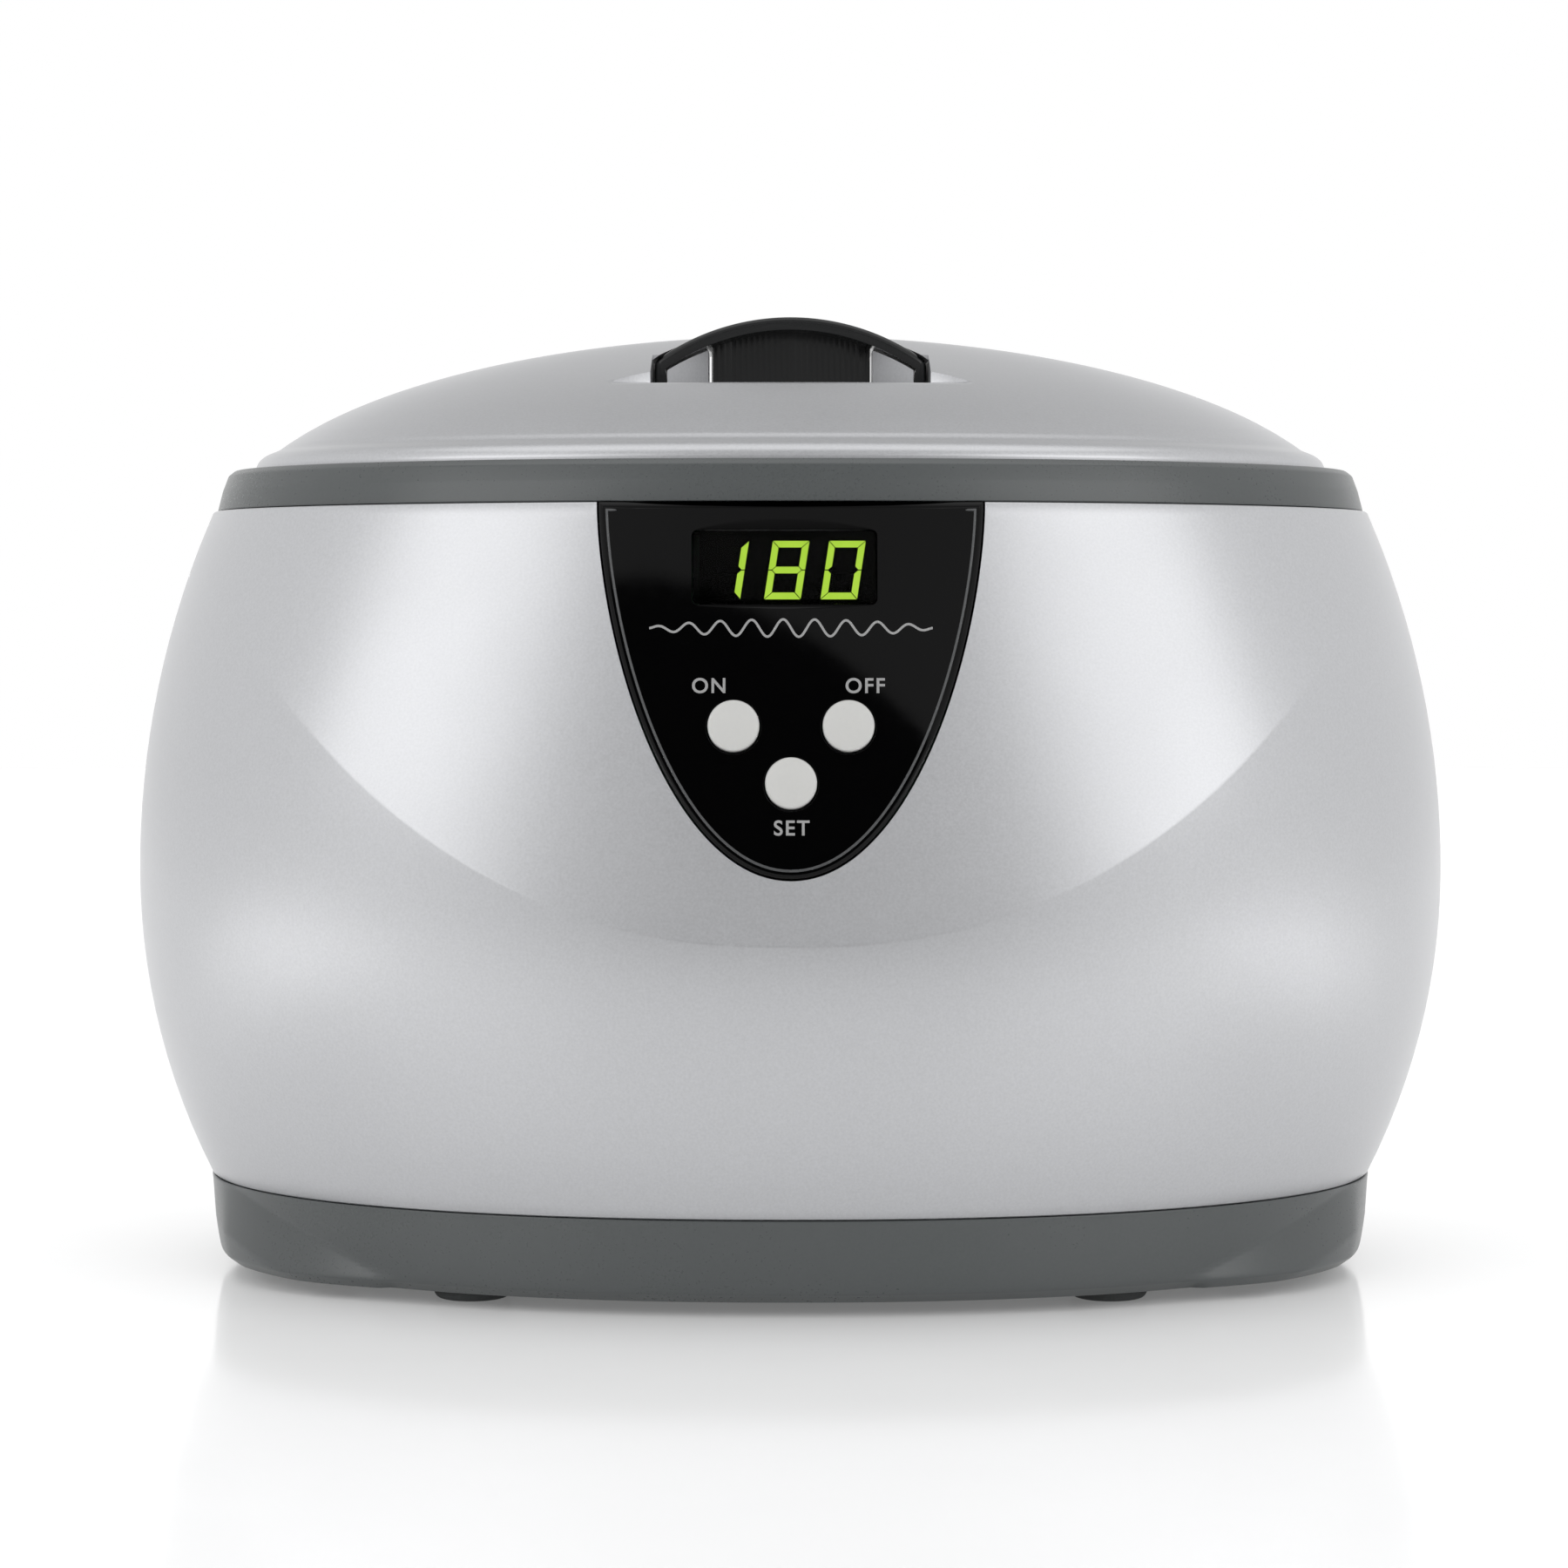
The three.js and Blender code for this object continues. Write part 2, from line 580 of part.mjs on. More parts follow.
function gripCap() {
  const { halfX, halfY, radius, sheet } = GRIP;
  const outer = sweptAlongY(gripArch(radius, halfX, RECESS_FLOOR + GAP), -halfY, halfY);
  const inner = sweptAlongY(gripArch(radius - sheet, halfX - 1.7, 100), -halfY - 1, halfY + 1);
  const post = box([-WEB.halfX, -WEB.halfY, WELL_FLOOR + GAP], [WEB.halfX, WEB.halfY, 160]);
  const web = common(post, sweptAlongY(gripArch(radius - 1, halfX, 100), -halfY, halfY));
  const holes = [-1, 1].map((s) => disc(1.5, 120, 142, 10).translate(s * 8, 0, 0));
  return cut(join(cut(outer, inner), web), ...holes);
}

function gripScrew(side) {
  return turned([[0, 128.9], [2.7, 128.9], [2.7, 131], [1.2, 131], [1.2, 140], [0, 141]], 12)
    .translate(side * 8, 0, 0);
}

function basket() {
  const shell = oval(turned([
    [0, 76], [66, 76], [70, 78.5], [72.6, 110], [74.2, 110.4], [74.2, 112.6], [70.6, 112.6],
    [68.2, 79.6], [65, 77.8], [0, 77.8],
  ], SEGMENTS));
  const floorSlots = heights(-48, 48, 8).map((x) => {
    const half = 33 * Math.sqrt(1 - (x / 68) ** 2);
    return box([x - 2, -half, 70], [x + 2, half, 79]);
  });
  const sideSlots = heights(-40, 40, 5).map((x) => box([x - 2, -60, 84], [x + 2, 60, 106]));
  const handles = [-1, 1].map((s) => {
    const upright = box([Math.min(s * 69.4, s * 72), -13, 109], [Math.max(s * 69.4, s * 72), 13, 121]);
    const grip = box([Math.min(s * 66, s * 76), -9.5, 113.2], [Math.max(s * 66, s * 76), 9.5, 118.8]);
    return cut(upright, grip);
  });
  return cut(join(shell, ...handles), ...floorSlots, ...sideSlots);
}

// ---------------------------------------------------------------- materials

const material = (color, roughness, metalness = 0) =>
  new THREE.MeshStandardMaterial({ color, roughness, metalness });
const silver = material(0xc4c7cc, 0.35, 0.6);
const darkPlastic = material(0x6a7070, 0.6);
const blackGloss = material(0x0b0c0d, 0.12);
const greyKey = material(0xd0d0ce, 0.4);
const rubber = material(0x2c2c2c, 0.9);
const steel = material(0xb8babc, 0.25, 1);
const aluminium = material(0xa9adb0, 0.4, 1);
const ceramic = material(0x8a8378, 0.7);
const copper = material(0xb87333, 0.4, 1);
const board = material(0x1d5a38, 0.6);
const blackPlastic = material(0x191a1b, 0.6);
const basketPlastic = material(0x33373b, 0.5);

// ---------------------------------------------------------------- assembly

const cleaner = new THREE.Group();

function add(name, geometry, look, parent = cleaner) {
  const mesh = new THREE.Mesh(toGeometry(toSolid(geometry)), look);
  mesh.name = name;
  parent.add(mesh);
  return mesh;
}

add("housing_shell", housingShell(), silver);
add("rim_ring", rimRing(), darkPlastic);
add("base_tray", baseTray(), darkPlastic);
["front_left", "front_right", "rear_left", "rear_right"].forEach((place, i) => {
  const [x, y] = footPlaces()[i];
  add(`foot_${place}`, foot(), rubber).position.set(x, y, 0);
  add(`base_screw_${place}`, baseScrew(), steel)
    .position.set(Math.sign(x) * SCREW_X, Math.sign(y) * SCREW_Y, 0);
});

add("tank", tank(), steel);
add("tank_gasket", tankGasket(), rubber);
add("transducer_front_mass", frontMass(), aluminium);
add("electrode_upper", electrode(stackTops.electrode_upper, 0.25), copper);
add("piezo_ring_upper", stackRing(stackTops.piezo_ring_upper, STACK.disc), ceramic);
add("electrode_lower", electrode(stackTops.electrode_lower, -0.25), copper);
add("piezo_ring_lower", stackRing(stackTops.piezo_ring_lower, STACK.disc), ceramic);
add("transducer_back_mass", stackRing(stackTops.back_mass, 15), steel);
add("transducer_bolt", stackBolt(), steel);

cleaner.add(panelGroup);
add("control_panel", controlPanel(), blackGloss);
add("display_window", displayWindow(), blackGloss, panelGroup);
add("led_display", box([-12.4, 13.3, -7.7], [12.4, 22.3, -2.2]), blackPlastic, panelGroup);
add("display_board", displayBoard(), board, panelGroup);
Object.entries(BUTTONS).forEach(([name, place]) => {
  add(`${name}_button`, buttonCap(place), greyKey, panelGroup);
  add(`${name}_switch`, tactSwitch(place), blackPlastic, panelGroup);
});
add("panel_screw_left", panelScrew(-19.5), steel, panelGroup);
add("panel_screw_right", panelScrew(19.5), steel, panelGroup);

add("driver_board", driverBoard(), board);
add("ferrite_transformer", ferriteTransformer(), blackPlastic);
add("resonance_inductor", resonanceInductor(), copper);
add("electrolytic_capacitor", electrolyticCapacitor(), blackPlastic);
add("film_capacitor_large", box([40, 2, 14], [55, 8.6, 26]), ceramic);
add("film_capacitor_small", box([58, 2.4, 14], [70, 8, 24]), ceramic);
add("heatsink", heatsink(), aluminium);
add("power_transistor_left", powerTransistor(48), blackPlastic);
add("power_transistor_right", powerTransistor(62), blackPlastic);
add("fuse", fuse(), steel);

add("power_inlet", powerInlet(), blackPlastic);
add("inlet_pin_left", inletPin(-1), steel);
add("inlet_pin_right", inletPin(1), steel);
Object.entries(wireRoutes).forEach(([name, route]) => {
  add(name, wire(route, 0.8), blackPlastic);
});
add("display_ribbon", ribbon([
  [8, -51.5, 74], [10, -48, 66], [16, -42, 52], [24, -36, 36], [30, -28, 24], [30.6, -22.4, 18],
  [30.6, -22, 14.2],
], 4, 0.8), basketPlastic);

add("lid_shell", lidShell(), silver);
add("grip_cap", gripCap(), blackGloss);
add("grip_screw_left", gripScrew(-1), steel);
add("grip_screw_right", gripScrew(1), steel);
add("basket", basket(), basketPlastic);

export default cleaner;
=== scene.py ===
"""Looks for a tabletop ultrasonic cleaner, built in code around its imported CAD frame.

Shapes are worked out in millimetres and become metres when their mesh is made.
X is right, Y runs away from the viewer, Z is up, and the object stands on z = 0.
"""

import math

import bmesh
import bpy
from mathutils import Matrix, Vector
from mathutils.geometry import delaunay_2d_cdt


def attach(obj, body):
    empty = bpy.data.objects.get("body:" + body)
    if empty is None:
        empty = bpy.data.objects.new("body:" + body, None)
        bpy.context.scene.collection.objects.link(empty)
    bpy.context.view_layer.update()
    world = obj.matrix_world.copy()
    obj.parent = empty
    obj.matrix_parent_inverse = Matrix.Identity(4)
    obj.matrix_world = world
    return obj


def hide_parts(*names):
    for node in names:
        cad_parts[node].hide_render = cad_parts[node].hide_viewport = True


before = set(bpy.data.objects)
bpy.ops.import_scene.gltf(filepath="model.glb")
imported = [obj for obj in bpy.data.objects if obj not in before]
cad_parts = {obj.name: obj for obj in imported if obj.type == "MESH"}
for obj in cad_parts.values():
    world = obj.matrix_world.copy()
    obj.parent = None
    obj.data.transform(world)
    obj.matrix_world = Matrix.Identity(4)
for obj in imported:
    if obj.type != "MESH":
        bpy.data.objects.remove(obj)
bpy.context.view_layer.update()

# ---------------------------------------------------------------- driving dimensions, in mm

MM = 0.001
TURNS = 256  # columns round each oval shell
ROUND = 48  # columns round a small turned piece
GAP = 0.3

BELLY_HALF = 103.0
BELLY_Z = 62.0
UPPER_RADIUS = 141.0
LOWER_RADIUS = 107.0
OVAL_STEP = 29.7
OVAL_TURN = 55.0  # half-width below which an oval keeps its proportions
OVAL_POWER = 2.15
WALL = 2.4

HOUSING_BOTTOM = 14.52
HOUSING_TOP = 118.4
CREASE_LOW = 55.2
CREASE_RISE = 41.0
CREASE_REACH = 79.0
CREASE_POWER = 2.2

RIM_BOTTOM = 118.5
RIM_TOP = 124.8
TRAY_BOTTOM = 2.0
TRAY_TOP = 14.45
TRAY_HALF = 92.0
FOOT_X = 47.7
FOOT_Y = 41.0
CORNER_X = 60.5
CORNER_Y = 8.0
CORNER_Z = 4.3
CORNER_SLOPE = 0.4
CORNER_PUSH = 4.0
SCREW_X = 70.0
SCREW_Y = 29.0

INLET_X = -35.0
INLET_Z = 32.0
INLET_HALF_X = 12.2
INLET_HALF_Z = 7.7
PIN_SPREAD = 8.6

TANK_SHEET = 0.8
TANK_CORNER = 9.0
TANK_BEND = 73.5  # half-width where the corner bend starts
TANK_FLOOR = 71.4
TANK_MOUTH = 77.2
TANK_FLANGE = 124.2
SLOT_WIDTH = 4

PANEL_Z = 91.5
PANEL_TIP = 64.6
PANEL_HALF = 27.75
PANEL_PROUD = 0.55
LENS_PROUD = 0.45
INK_PROUD = 0.6
WINDOW_WIDTH = 26.7
WINDOW_HEIGHT = 11.0
WINDOW_X = -0.95
WINDOW_Y = 17.7
DIGIT_HALF_X = 2.63
DIGIT_HALF_Y = 4.27
DIGIT_STROKE = 0.95
DIGIT_GAP = 0.09
DIGIT_SLANT = 0.15
DIGITS = [(-9.3, "bc"), (-0.6, "abcdefg"), (7.5, "abcdef")]
KEY_RADIUS = 3.7
WAVE_Z = 100.2
WAVE_HALF = 20.3
WAVE_HEIGHT = 1.25
WAVE_COUNT = 9
WAVE_WIDTH = 0.34
LABEL_HEIGHT = 2.15
KEYS = {"on": (-8.2, -5.45), "off": (8.2, -5.45), "set": (0.0, -13.7)}

LID_BOTTOM = 124.85
LID_CROWN = 146.6
LID_TURN = 80.0
DOME_RISE = 32.8
DOME_REACH = 90.0
DOME_SHEET = 2.3
RECESS_FLOOR = 137.4
WELL_FLOOR = 133.5
SCOOP_X = 29.9
SCOOP_Y = 33.0
SCOOP_HALF_Y = 14.1
GRIP_X = 21.2
GRIP_Y = 12.5
GRIP_RADIUS = 36.1
GRIP_AXIS_Z = 112.6
GRIP_SHEET = 2.0
GRIP_SCREW_X = 8
WEB_X = 12.6
WEB_Y = 3.8
CHEEK_Y = 6.8

UPRIGHT = Matrix.Rotation(math.pi / 2, 4, "X")
REARWARD = Matrix.Rotation(-math.pi / 2, 4, "X")

# The studio: metres and watts, and the brightness that reflections find in the room round it.
CAMERA_PLACE = (-0.0010, -0.630, 0.1002)
CAMERA_LENS = 90.6
CAMERA_DOWN = 2.263  # degrees below level
SIDE_X = 0.95
SIDE_Y = -1.02
SIDE_Z = 0.75
SIDE_POWER = 2.85
LOW_X = 0.37
LOW_Y = -0.14
LOW_Z = 0.42
LOW_SPREAD = 48.0
LOW_POWER = 0.3
TOP_POWER = 4.6
FLOOR_RADIUS = 1.3
FLOOR_BACK = 0.98
FLOOR_GLOW = 0.13
FRONT_DIP = 0.8
FRONT_NARROW = 9.0
FRONT_LOW = math.radians(16)
HIGH_DIP = 0.5
HIGH_FROM = 0.25
HIGH_FULL = 0.7
HIGH_FADE = 1.3
STRIP_LOW = 0.285
STRIP_TOP = 0.354
STRIP_TILT = 0.09
STRIP_DARK = 0.93
STRIP_SOFT = 0.04
STRIP_CRISP = 0.002
AHEAD_FROM = 0.78
AHEAD_FULL = 0.86


# ---------------------------------------------------------------- the shared curves


def signed_power(value, power):
    return math.copysign(abs(value) ** power, value)


def barrel(z):
    """Half-width of the housing at a height."""
    radius = UPPER_RADIUS if z > BELLY_Z else LOWER_RADIUS
    return BELLY_HALF - radius + math.sqrt(radius**2 - (z - BELLY_Z) ** 2)


def crease_at(cosine):
    """Height of the smile-shaped crease in the column whose plan angle has this cosine."""
    low = CREASE_LOW
    for _ in range(12):
        reach = abs(barrel(low) * cosine) / CREASE_REACH
        low = min(CREASE_LOW + CREASE_RISE * reach**CREASE_POWER, HOUSING_TOP)
    return low


def face_half(cosine, z):
    """Half-width of the oval through the straight face above the crease."""
    low = crease_at(cosine)
    if z <= low or low > HOUSING_TOP - 1:
        return barrel(z)
    share = (z - low) / (HOUSING_TOP - low)
    straight = barrel(low) + share * (barrel(HOUSING_TOP) - barrel(low))
    return min(barrel(z), straight)


def oval_depth(half, turn=OVAL_TURN, power=1.0):
    if half >= turn:
        return half - OVAL_STEP
    return (turn - OVAL_STEP) * (half / turn) ** power


def oval_point(half, angle, z, turn=OVAL_TURN, power=1.0):
    cosine, sine = math.cos(angle), math.sin(angle)
    x = half * signed_power(cosine, 2 / OVAL_POWER)
    y = oval_depth(half, turn, power) * signed_power(sine, 2 / OVAL_POWER)
    return (x, y, z)


def face_point(x, z, proud=0.0):
    """The point at x and z on the front of the housing, or on a skin that stands proud of it."""
    cosine = 0.0
    for _ in range(6):
        half = face_half(cosine, z) + proud
        cosine = min(abs(x) / half, 1.0) ** (OVAL_POWER / 2)
    flat = (1 - (abs(x) / half) ** OVAL_POWER) ** (1 / OVAL_POWER)
    return (x, -oval_depth(half) * flat, z)


LEAN = math.atan((barrel(CREASE_LOW) - barrel(HOUSING_TOP)) / (HOUSING_TOP - CREASE_LOW))
PANEL_PLACE = Matrix.Translation(face_point(0, PANEL_Z)) @ Matrix.Rotation(
    math.pi / 2 - LEAN, 4, "X"
)


# ---------------------------------------------------------------- meshes


def mesh_object(name, points, faces):
    mesh = bpy.data.meshes.new(name)
    mesh.from_pydata([Vector(p) * MM for p in points], [], faces)
    working = bmesh.new()
    working.from_mesh(mesh)
    bmesh.ops.remove_doubles(working, verts=working.verts, dist=1e-7)
    bmesh.ops.recalc_face_normals(working, faces=working.faces)
    working.to_mesh(mesh)
    working.free()
    obj = bpy.data.objects.new(name, mesh)
    bpy.context.scene.collection.objects.link(obj)
    return obj


def loft(name, rings, closed):
    """Quads between rings of equally many points, and between the last and the first if closed."""
    count = len(rings[0])
    points = [p for ring in rings for p in ring]
    faces = []
    last = len(rings) if closed else len(rings) - 1
    for k in range(last):
        low, high = k * count, ((k + 1) % len(rings)) * count
        for i in range(count):
            j = (i + 1) % count
            faces.append((low + i, low + j, high + j, high + i))
    return mesh_object(name, points, faces)


def angles(count):
    return [2 * math.pi * i / count for i in range(count)]


def oval_turned(name, profile, turn=OVAL_TURN, power=1.0, segments=TURNS):
    """A profile of (half-width, height) swept round the oval plan."""
    rings = [[oval_point(r, a, z, turn, power) for a in angles(segments)] for r, z in profile]
    return loft(name, rings, profile[0][0] > 0 or profile[-1][0] > 0)


def turned(name, profile, place=None, segments=ROUND):
    """A profile of (radius, height) turned about Z and then moved to its place, in mm."""
    rings = [[(r * math.cos(a), r * math.sin(a), z) for a in angles(segments)] for r, z in profile]
    if place is not None:
        rings = [[place @ Vector(p) for p in ring] for ring in rings]
    return loft(name, rings, profile[0][0] > 0 or profile[-1][0] > 0)


def prism(name, outline, low, high, place=None):
    """A closed outline in X and Y, drawn from one height to another, with flat ends."""
    place = place or Matrix.Identity(4)
    count = len(outline)
    points = [place @ Vector((x, y, z)) for z in (low, high) for x, y in outline]
    sides = [(i, (i + 1) % count, count + (i + 1) % count, count + i) for i in range(count)]
    ends = [tuple(reversed(range(count))), tuple(range(count, 2 * count))]
    return mesh_object(name, points, sides + ends)


def rounded_box(name, low, high, corner=0.0, place=None):
    """A box whose upright edges are rounded."""
    middle = [(a + b) / 2 for a, b in zip(low, high)]
    outline = rounded_rectangle(high[0] - low[0], high[1] - low[1], corner, middle)
    return prism(name, outline, low[2], high[2], place)


def rounded_rectangle(width, height, corner, middle=(0.0, 0.0), steps=6):
    corners = [(1, 1, 0), (-1, 1, 90), (-1, -1, 180), (1, -1, 270)]
    points = []
    for sx, sy, start in corners:
        cx = middle[0] + sx * (width / 2 - corner)
        cy = middle[1] + sy * (height / 2 - corner)
        turns = range(steps + 1) if corner > 0 else [0]
        for k in turns:
            a = math.radians(start + 90 * k / steps)
            points.append((cx + corner * math.cos(a), cy + corner * math.sin(a)))
    return points


def circle(radius, middle=(0.0, 0.0), count=ROUND):
    return [(middle[0] + radius * math.cos(a), middle[1] + radius * math.sin(a)) for a in angles(count)]


def filleted(profile, radius, steps=4):
    """The profile with each corner rounded, apart from its two ends."""
    result = [profile[0]]
    for before, corner, after in zip(profile, profile[1:], profile[2:]):
        p, a, b = Vector(corner), Vector(before), Vector(after)
        reach = min(radius, 0.48 * (a - p).length, 0.48 * (b - p).length)
        start = p + (a - p).normalized() * reach
        end = p + (b - p).normalized() * reach
        for k in range(steps + 1):
            t = k / steps
            q = start * (1 - t) ** 2 + p * (2 * t * (1 - t)) + end * t**2
            result.append((q.x, q.y))
    result.append(profile[-1])
    return result


def closed_fillet(profile, radius, steps=4):
    """The same for a closed profile, all its corners rounded."""
    loop = [profile[-1], *profile, profile[0]]
    return filleted(loop, radius, steps)[1:-1]


def inset(outline, distance):
    """A closed counter-clockwise outline moved inwards, or outwards for a negative distance."""
    result = []
    count = len(outline)
    for i, point in enumerate(outline):
        p, a, b = Vector(point), Vector(outline[i - 1]), Vector(outline[(i + 1) % count])
        first, second = (p - a).normalized(), (b - p).normalized()
        one = Vector((-first.y, first.x))
        two = Vector((-second.y, second.x))
        shift = (one + two) / (1 + one.dot(two))
        result.append(tuple(p + shift * distance))
    return result


def apply_modifiers(obj):
    graph = bpy.context.evaluated_depsgraph_get()
    mesh = bpy.data.meshes.new_from_object(obj.evaluated_get(graph))
    old = obj.data
    obj.modifiers.clear()
    obj.data = mesh
    bpy.data.meshes.remove(old)


def combine(obj, operation, *tools):
    for tool in tools:
        modifier = obj.modifiers.new("combine", "BOOLEAN")
        modifier.object = tool
        modifier.operation = operation
        modifier.solver = "MANIFOLD"
        apply_modifiers(obj)
        bpy.data.objects.remove(tool)
    return obj


def cut(obj, *tools):
    return combine(obj, "DIFFERENCE", *tools)


def add(obj, *tools):
    return combine(obj, "UNION", *tools)


def common(obj, *tools):
    return combine(obj, "INTERSECT", *tools)


def merged(name, parts):
    """Several meshes as one object, without joining their surfaces."""
    working = bmesh.new()
    for part in parts:
        working.from_mesh(part.data)
        bpy.data.objects.remove(part)
    mesh = bpy.data.meshes.new(name)
    working.to_mesh(mesh)
    working.free()
    obj = bpy.data.objects.new(name, mesh)
    bpy.context.scene.collection.objects.link(obj)
    return obj


def smooth(obj, degrees):
    obj.data.shade_smooth()
    obj.data.set_sharp_from_angle(angle=math.radians(degrees))


def bevelled(obj, width, segments=3, degrees=40.0):
    modifier = obj.modifiers.new("bevel", "BEVEL")
    modifier.width = width * MM
    modifier.segments = segments
    modifier.limit_method = "ANGLE"
    modifier.angle_limit = math.radians(degrees)
    modifier.use_clamp_overlap = True
    apply_modifiers(obj)


def place(obj, body, slot, material, *nodes, degrees=35.0):
    """Finishes a piece: smooth shading, material, body and the CAD nodes it stands for; the slot is not
    used.
    """
    smooth(obj, degrees)
    if not obj.data.materials:
        obj.data.materials.append(material)
    obj.data.materials[0] = material
    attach(obj, body)
    if nodes:
        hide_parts(*nodes)


# ---------------------------------------------------------------- materials


def noise_node(nodes, links, coordinate, scale, stretch=(1, 1, 1), detail=3.0):
    mapping = nodes.new("ShaderNodeMapping")
    mapping.inputs["Scale"].default_value = stretch
    links.new(coordinate.outputs["Object"], mapping.inputs["Vector"])
    noise = nodes.new("ShaderNodeTexNoise")
    noise.inputs["Scale"].default_value = scale
    noise.inputs["Detail"].default_value = detail
    links.new(mapping.outputs["Vector"], noise.inputs["Vector"])
    return noise


def spread(nodes, links, source, low, high):
    """A number that follows a texture from low to high."""
    span = nodes.new("ShaderNodeMapRange")
    span.inputs["From Min"].default_value = 0.3
    span.inputs["From Max"].default_value = 0.7
    span.inputs["To Min"].default_value = low
    span.inputs["To Max"].default_value = high
    links.new(source, span.inputs["Value"])
    return span.outputs["Result"]


def two_tone(nodes, links, factor, dark, light):
    mix = nodes.new("ShaderNodeMix")
    mix.data_type = "RGBA"
    mix.inputs["A"].default_value = (*dark, 1)
    mix.inputs["B"].default_value = (*light, 1)
    links.new(factor, mix.inputs["Factor"])
    return mix.outputs["Result"]


def grained(
    name, colour, roughness, metallic=0.0, grain=900.0, stretch=(1, 1, 1), tint=0.06,
    polish=0.05, bump=0.00002, specular=0.5, coat=0.0, coat_roughness=0.1,
):
    """A surface whose colour, roughness and height follow a fine grain and a broad handling mark."""
    material = bpy.data.materials.new(name)
    material.use_nodes = True
    nodes, links = material.node_tree.nodes, material.node_tree.links
    shader = nodes["Principled BSDF"]
    shader.inputs["Metallic"].default_value = metallic
    shader.inputs["Specular IOR Level"].default_value = specular
    shader.inputs["Coat Weight"].default_value = coat
    shader.inputs["Coat Roughness"].default_value = coat_roughness
    coordinate = nodes.new("ShaderNodeTexCoord")
    fine = noise_node(nodes, links, coordinate, grain, stretch)
    broad = noise_node(nodes, links, coordinate, 45.0, (1, 1, 1), 2.0)
    factor = spread(nodes, links, fine.outputs["Fac"], 0.0, 1.0)
    dark = [c * (1 - tint) for c in colour]
    light = [min(c * (1 + tint), 1.0) for c in colour]
    links.new(two_tone(nodes, links, factor, dark, light), shader.inputs["Base Color"])
    mark = nodes.new("ShaderNodeMath")
    mark.operation = "ADD"
    links.new(spread(nodes, links, fine.outputs["Fac"], -polish, polish), mark.inputs[0])
    span = spread(nodes, links, broad.outputs["Fac"], roughness - polish / 2, roughness + polish / 2)
    links.new(span, mark.inputs[1])
    links.new(mark.outputs["Value"], shader.inputs["Roughness"])
    height = nodes.new("ShaderNodeBump")
    height.inputs["Strength"].default_value = 1.0
    height.inputs["Distance"].default_value = bump
    links.new(fine.outputs["Fac"], height.inputs["Height"])
    links.new(height.outputs["Normal"], shader.inputs["Normal"])
    return material


def lit_segment():
    material = bpy.data.materials.new("lit_segment")
    material.use_nodes = True
    nodes, links = material.node_tree.nodes, material.node_tree.links
    shader = nodes["Principled BSDF"]
    shader.inputs["Roughness"].default_value = 0.4
    shader.inputs["Base Color"].default_value = (0.2, 0.3, 0.05, 1)
    coordinate = nodes.new("ShaderNodeTexCoord")
    noise = noise_node(nodes, links, coordinate, 400.0)
    factor = spread(nodes, links, noise.outputs["Fac"], 0.0, 1.0)
    glow = two_tone(nodes, links, factor, (0.48, 0.80, 0.055), (0.52, 0.84, 0.07))
    links.new(glow, shader.inputs["Emission Color"])
    shader.inputs["Emission Strength"].default_value = 2.6
    return material


def smoked_glass():
    material = grained(
        "smoked_window", (0.3, 0.3, 0.31), 0.006, grain=300.0, tint=0.02, polish=0.004,
        bump=0.0000001, specular=0.1,
    )
    shader = material.node_tree.nodes["Principled BSDF"]
    shader.inputs["Transmission Weight"].default_value = 1.0
    shader.inputs["IOR"].default_value = 1.12
    return material


# Satin metallic lacquer: fine aluminium flakes of slightly different brightness.
SILVER = grained(
    "silver_paint", (0.505, 0.51, 0.525), 0.34, metallic=0.85, grain=2600.0, tint=0.05,
    polish=0.03, bump=0.000004, coat=0.25, coat_roughness=0.25,
)
DARK_GREY = grained(
    "dark_grey_plastic", (0.058, 0.065, 0.066), 0.3, grain=2200.0, tint=0.05, polish=0.03,
    bump=0.000004, specular=0.65,
)
BLACK_GLOSS = grained(
    "black_gloss", (0.0006, 0.0006, 0.0007), 0.03, grain=500.0, tint=0.1, polish=0.006,
    bump=0.0000003, specular=0.15,
)
GRIP_BLACK = grained(
    "grip_black", (0.004, 0.0045, 0.005), 0.2, grain=1500.0, tint=0.1, polish=0.04,
    bump=0.000004, specular=0.4,
)
# The raised bead belongs to the panel's black moulding; its lighter base colour is a painted highlight
# along that line.
BEAD_HIGHLIGHT = grained(
    "bead_painted_highlight", (0.05, 0.052, 0.054), 0.25, grain=900.0, tint=0.1, polish=0.04, bump=0.000001,
    specular=0.6,
)
SMOKED = smoked_glass()
SEGMENT_LIT = lit_segment()
SEGMENT_BODY = grained("segment_body", (0.0012, 0.0012, 0.0012), 0.6, grain=800.0, specular=0.1)
PRINT_GREY = grained("printed_ink", (0.3, 0.3, 0.3), 0.5, grain=3000.0, tint=0.05)
KEY_GREY = grained(
    "grey_key", (0.56, 0.56, 0.545), 0.3, grain=1800.0, tint=0.01, polish=0.02, bump=0.0000008,
)
RUBBER = grained("rubber", (0.062, 0.066, 0.066), 0.75, grain=2400.0, tint=0.15, bump=0.00003)
STEEL = grained(
    "stainless_steel", (0.60, 0.60, 0.61), 0.22, metallic=1.0, grain=500.0, stretch=(1, 1, 14),
    tint=0.05, polish=0.06, bump=0.000004,
)
ZINC = grained("zinc_steel", (0.55, 0.56, 0.58), 0.3, metallic=1.0, grain=1500.0, tint=0.08)
NICKEL = grained("nickel_pin", (0.66, 0.63, 0.57), 0.2, metallic=1.0, grain=1500.0, tint=0.05)
ALUMINIUM = grained(
    "aluminium", (0.62, 0.63, 0.64), 0.38, metallic=1.0, grain=700.0, stretch=(1, 1, 12), tint=0.06,
)
COPPER = grained(
    "copper_alloy", (0.72, 0.36, 0.18), 0.3, metallic=1.0, grain=300.0, stretch=(0.1, 0.1, 12),
    tint=0.25, bump=0.00008,
)
CERAMIC = grained("piezo_ceramic", (0.30, 0.26, 0.20), 0.6, grain=1800.0, tint=0.12, bump=0.00001)
